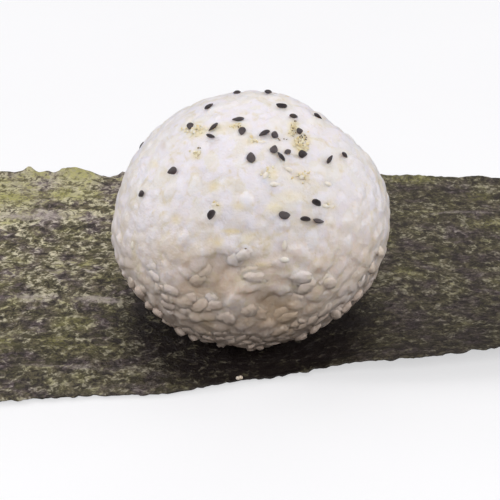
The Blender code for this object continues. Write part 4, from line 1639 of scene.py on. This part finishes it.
print("relief from", round(relief.min(), 2), "to", round(relief.max(), 2), "mm")

# %% [markdown]
# ## The leaf lifted and thickened
#
# Each corner is lifted to the strip's form and its relief, and Solidify gives the leaf its thickness. The
# ridges, the streaks with their painted sheen, the green patches, and the damp round the rice with its painted
# contact shadow are kept as values of its corners, which the finish reads. What is finer than that comes from
# the finish.

# %% The leaf lifted and thickened
LEAF_THICKNESS = 0.34
LEAF_CLEARANCE = 0.02
FOOT_MIDDLE = (-1.0, -17.5)
FOOT_DAMP_AND_SHADOW = (26.5, 39.0)

top = np.maximum(height + STRIP_THICKNESS + relief, LEAF_THICKNESS + LEAF_CLEARANCE)
points = np.stack((x + RAGGED * ragged_x, y + RAGGED * ragged_y + OUTLINE_SHIFT, top), axis=1)
nori_leaf.data.vertices.foreach_set("co", (points * MM).ravel())
nori_leaf.data.update()
# Round the ball's foot the leaf is marked damp: painted contact shadow, partly damp nori.
from_foot = np.hypot(x - FOOT_MIDDLE[0], y - FOOT_MIDDLE[1]) + 2.5 * rough(x, y, 4.0)
leaf_values = {
    "ridge": relief,
    "damp": 1 - smooth_step((from_foot - FOOT_DAMP_AND_SHADOW[0]) / (FOOT_DAMP_AND_SHADOW[1] - FOOT_DAMP_AND_SHADOW[0])),
    "streak": marked_on_leaf(STREAKS_AND_SHEEN, x, y),
    "green": np.maximum(marked_on_leaf(GREEN_PATCHES, x, y), 0),
}
keep_values(nori_leaf.data, leaf_values)
finish_with(nori_leaf, "SOLIDIFY", "Leaf thickness", thickness=LEAF_THICKNESS * MM, offset=-1.0)
nori_leaf.data.shade_smooth()
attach(nori_leaf, "root")
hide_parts("nori_strip")
print("leaf faces", len(nori_leaf.data.polygons), "highest", round(top.max(), 1), "mm")

# %% [markdown]
# ## A bit of rice on the leaf's edge
#
# Something always falls off. In front two crumbs of a grain lie on the leaf's edge, placed by their pixels
# like the seeds. They are the modelled grain again, made small.

# %% A bit of rice on the leaf's edge
FALLEN_SEEN = ((238.5, 379.0, 60), (240.5, 378.5, 130))
FALLEN_SIZE = (1.7, 1.3, 1.0)
FALLEN_LIFT = Vector((0.0, 0.0, 0.3))

leaf_tree = tree_of(nori_leaf)
rows = []
for across, down, lean in FALLEN_SEEN:
    place, _, heading, _ = seen_on_skin(leaf_tree, across, down, lean)
    rows.append((place - MIDDLE + FALLEN_LIFT, UP, heading, FALLEN_SIZE))
bits = laid_rows(GRAIN_CORNERS, rows)
# Both bits take the beige of the lower front in full, which on the ball is painted warm shade.
fallen_rice = joined("fallen_rice", bits, GRAIN_FACES, loose_finish, tone=[0.9, 0.5], warm=[1.0, 1.0])
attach(fallen_rice, "root")
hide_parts("nori_strip")
print("bits of fallen rice", len(rows))

# %% [markdown]
# ## Noise for the nori
#
# All that shows on nori has a size of its own: blotches and long bands of some millimetres, felt of two,
# flecks of one and fibres of half. Each gets its own noise, stretched along X as the fibres lie, and noise
# that is swirled by a Distortion makes the curved flecks. Soft masks tell the left, front and far left parts,
# where the finish paints light and shade: a brighter left with painted sheen, most at the far left, and a
# darker front as painted shade.

# %% Noise for the nori
# Where the painted light and shade fade in: brighter left, darker front, sheen at the far left.
LIT_LEFT_OF = (15.0, -60.0)
SHADED_FRONT_OF = (5.0, -40.0)
SHEEN_FAR_OF = (15.0, 45.0)

nori = Finish("dried_seaweed", IOR=1.42)
wide = nori.places((0.8, 1.0, 1.0))
blotches = nori.grainy(wide, 6.0, 3.0)
felt = nori.grainy(wide, 2.0, 4.0, 0.62)
flecks = nori.grainy(wide, 1.35, 2.0, 0.5, 1.2)
fibres = nori.grainy(nori.places((0.6, 1.0, 1.0)), 0.5)
bands = nori.grainy(nori.places((0.15, 1.0, 1.0)), 3.6)
brown = nori.spots(wide, 2.6, 0.45, 0.62, 3.0)
speck = nori.spots(wide, 0.9, 0.40, 0.58, 2.0, 0.6)
green_spots = nori.spots(wide, 3.0, 0.47, 0.64)
ridge = nori.between(nori.own_value("ridge"), 0.10, 0.55)
streak = nori.own_value("streak")
damp = nori.own_value("damp")
own_places = nori.node("ShaderNodeTexCoord", output="Object")
across, back = (nori.node("ShaderNodeSeparateXYZ", {}, {"Vector": own_places}, axis) for axis in (0, 1))
# Masks for painted light: the left and far left are painted brighter as sheen, the front darker as shade.
left = nori.between(across, *(edge * MM for edge in LIT_LEFT_OF))
front = nori.between(back, *(edge * MM for edge in SHADED_FRONT_OF))
far_left_sheen = nori.between(back, *(edge * MM for edge in SHEEN_FAR_OF)) * left
print("nodes of noise and masks", len(nori.tree.nodes))

# %% [markdown]
# ## The finish of the nori
#
# Close up, nori is never one green. Dark felt, purplish in some places and olive in others, shows between
# pale curved flecks, which are straw coloured on olive and lilac on purple; the flecks are partly painted
# glints off the crinkles. Along the ridges they run together into streaks, partly painted sheen, and dark
# specks break everything up. Thin places at the edges turn yellow green. The left is painted brighter, as
# sheen, and the right and front darker, as shade. Near the rice the leaf is damp and almost black: painted
# contact shadow, partly damp. The same noise lifts the surface with a bump.

# %% The finish of the nori
OLIVE_FELT = (0.098, 0.086, 0.043)
PURPLE_FELT = (0.125, 0.092, 0.096)
BLACK_FELT_AND_SHADE = (0.024, 0.018, 0.015)
BROWN_GREEN = (0.170, 0.145, 0.080)
PALE_FLECK_GLINT = (0.74, 0.68, 0.49)
LILAC_FLECK_GLINT = (0.56, 0.49, 0.46)
LILAC_STREAK_SHEEN = (0.40, 0.34, 0.32)
YELLOW_GREEN = (0.42, 0.40, 0.125)
DAMP_AND_SHADOW_FELT = (0.006, 0.0022, 0.0018)

purple = nori.between(blotches, 0.44, 0.60)
# The left and far left raise the tone as painted sheen and the front lowers it as painted shade; the ridges and
# pale streaks raise it as painted sheen.
tone = felt + flecks * 0.8 + fibres * 0.15 + bands * 0.35 + streak * 0.15 + ridge * 0.05
tone = tone + left * 0.04 + far_left_sheen * 0.09 - front * 0.03 - purple * 0.06
pale = nori.between(tone, 1.15, 1.40)
colour = nori.blend(OLIVE_FELT, PURPLE_FELT, purple)
colour = nori.blend(colour, BROWN_GREEN, brown * (0.9 - purple * 0.5))
colour = nori.blend(colour, BLACK_FELT_AND_SHADE, nori.between(tone, 1.15, 0.97) * 0.95)
# Pale flecks, partly painted glints, and more of them on the left as painted sheen.
fleck_glint_colour = nori.blend(PALE_FLECK_GLINT, LILAC_FLECK_GLINT, purple * 0.85)
colour = nori.blend(colour, fleck_glint_colour, pale * (0.70 + left * 0.25))
colour = nori.blend(colour, YELLOW_GREEN, nori.own_value("green") * (0.15 + pale * 0.35 + speck * 0.35))
# Stronger at the left and far left, partly painted sheen.
greener = green_spots * (0.12 + pale * 0.50) * (0.75 + left * 0.25) + far_left_sheen * pale * 0.20
colour = nori.blend(colour, YELLOW_GREEN, greener)
# Lilac on the pale streaks: painted sheen on the ridges, partly pressed fibre marks.
colour = nori.blend(colour, LILAC_STREAK_SHEEN, nori.between(streak, 0.15, 0.90) * (0.45 + speck * 0.35))
# Darker to the right and to the front: painted shade.
colour = nori.blend(colour, BLACK_FELT_AND_SHADE, (1.0 - left) * 0.38 + front * 0.20 + (1.0 - speck) * 0.25)
# Almost black round the ball's foot: painted contact shadow, partly damp nori.
colour = nori.blend(colour, DAMP_AND_SHADOW_FELT, damp * (0.97 - pale * 0.34 - green_spots * 0.08))
bump = nori.bump(flecks * 0.50 + fibres * 0.30 + felt * 0.8, 1.0, 0.75)
nori.feed(Base_Color=colour, Roughness=0.54 - pale * 0.14 + fibres * 0.1, Normal=bump)
nori_leaf.data.materials.clear()
nori_leaf.data.materials.append(nori.material)
print("nori shader nodes", len(nori.tree.nodes))

# %% [markdown]
# ## The floor
#
# The part stands on a plain pale floor. It is only a stage: it carries the soft shadow that shows how the
# leaf curls away from what it lies on. A white floor would light the rice from below and wash out its dark
# foot, so a Light Path node gives it two looks: pale where the camera sees it, and dark to light it bounces.

# %% The floor
FLOOR_PALE = ((0.40, 0.40, 0.405), (0.42, 0.42, 0.425))
FLOOR_BOUNCE = (0.08, 0.072, 0.066)
FLOOR_LIFT = (0.55, 0.55, 0.555)
NO_LIGHT = (0.0, 0.0, 0.0)

bpy.ops.object.select_all(action="DESELECT")
bpy.ops.mesh.primitive_plane_add(size=6.0)
floor = bpy.context.object
floor.name = "floor"
paint = Finish("pale_floor", Roughness=0.9, Emission_Strength=1.0)
pale = paint.blend(*FLOOR_PALE, paint.grainy(paint.places(), 80.0))
to_camera = paint.node("ShaderNodeLightPath", output="Is Camera Ray")
paint.feed(Base_Color=paint.blend(FLOOR_BOUNCE, pale, to_camera))
paint.feed(Emission_Color=paint.blend(NO_LIGHT, FLOOR_LIFT, to_camera))
floor.data.materials.append(paint.material)
floor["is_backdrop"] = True
print("floor", [round(side, 1) for side in floor.dimensions], "m")

# %% [markdown]
# ## Measure both boxes
#
# Both boxes, that of the solids and that of the dressed model, are measured and printed. The dressed model
# may not be bigger than the solids allow.

# %% Measure both boxes
sizes_now = {"cad": [list(corner) for corner in cad_box], "visual": [list(corner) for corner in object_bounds()]}
print({name: [[round(c / MM, 1) for c in corner] for corner in box] for name, box in sizes_now.items()})
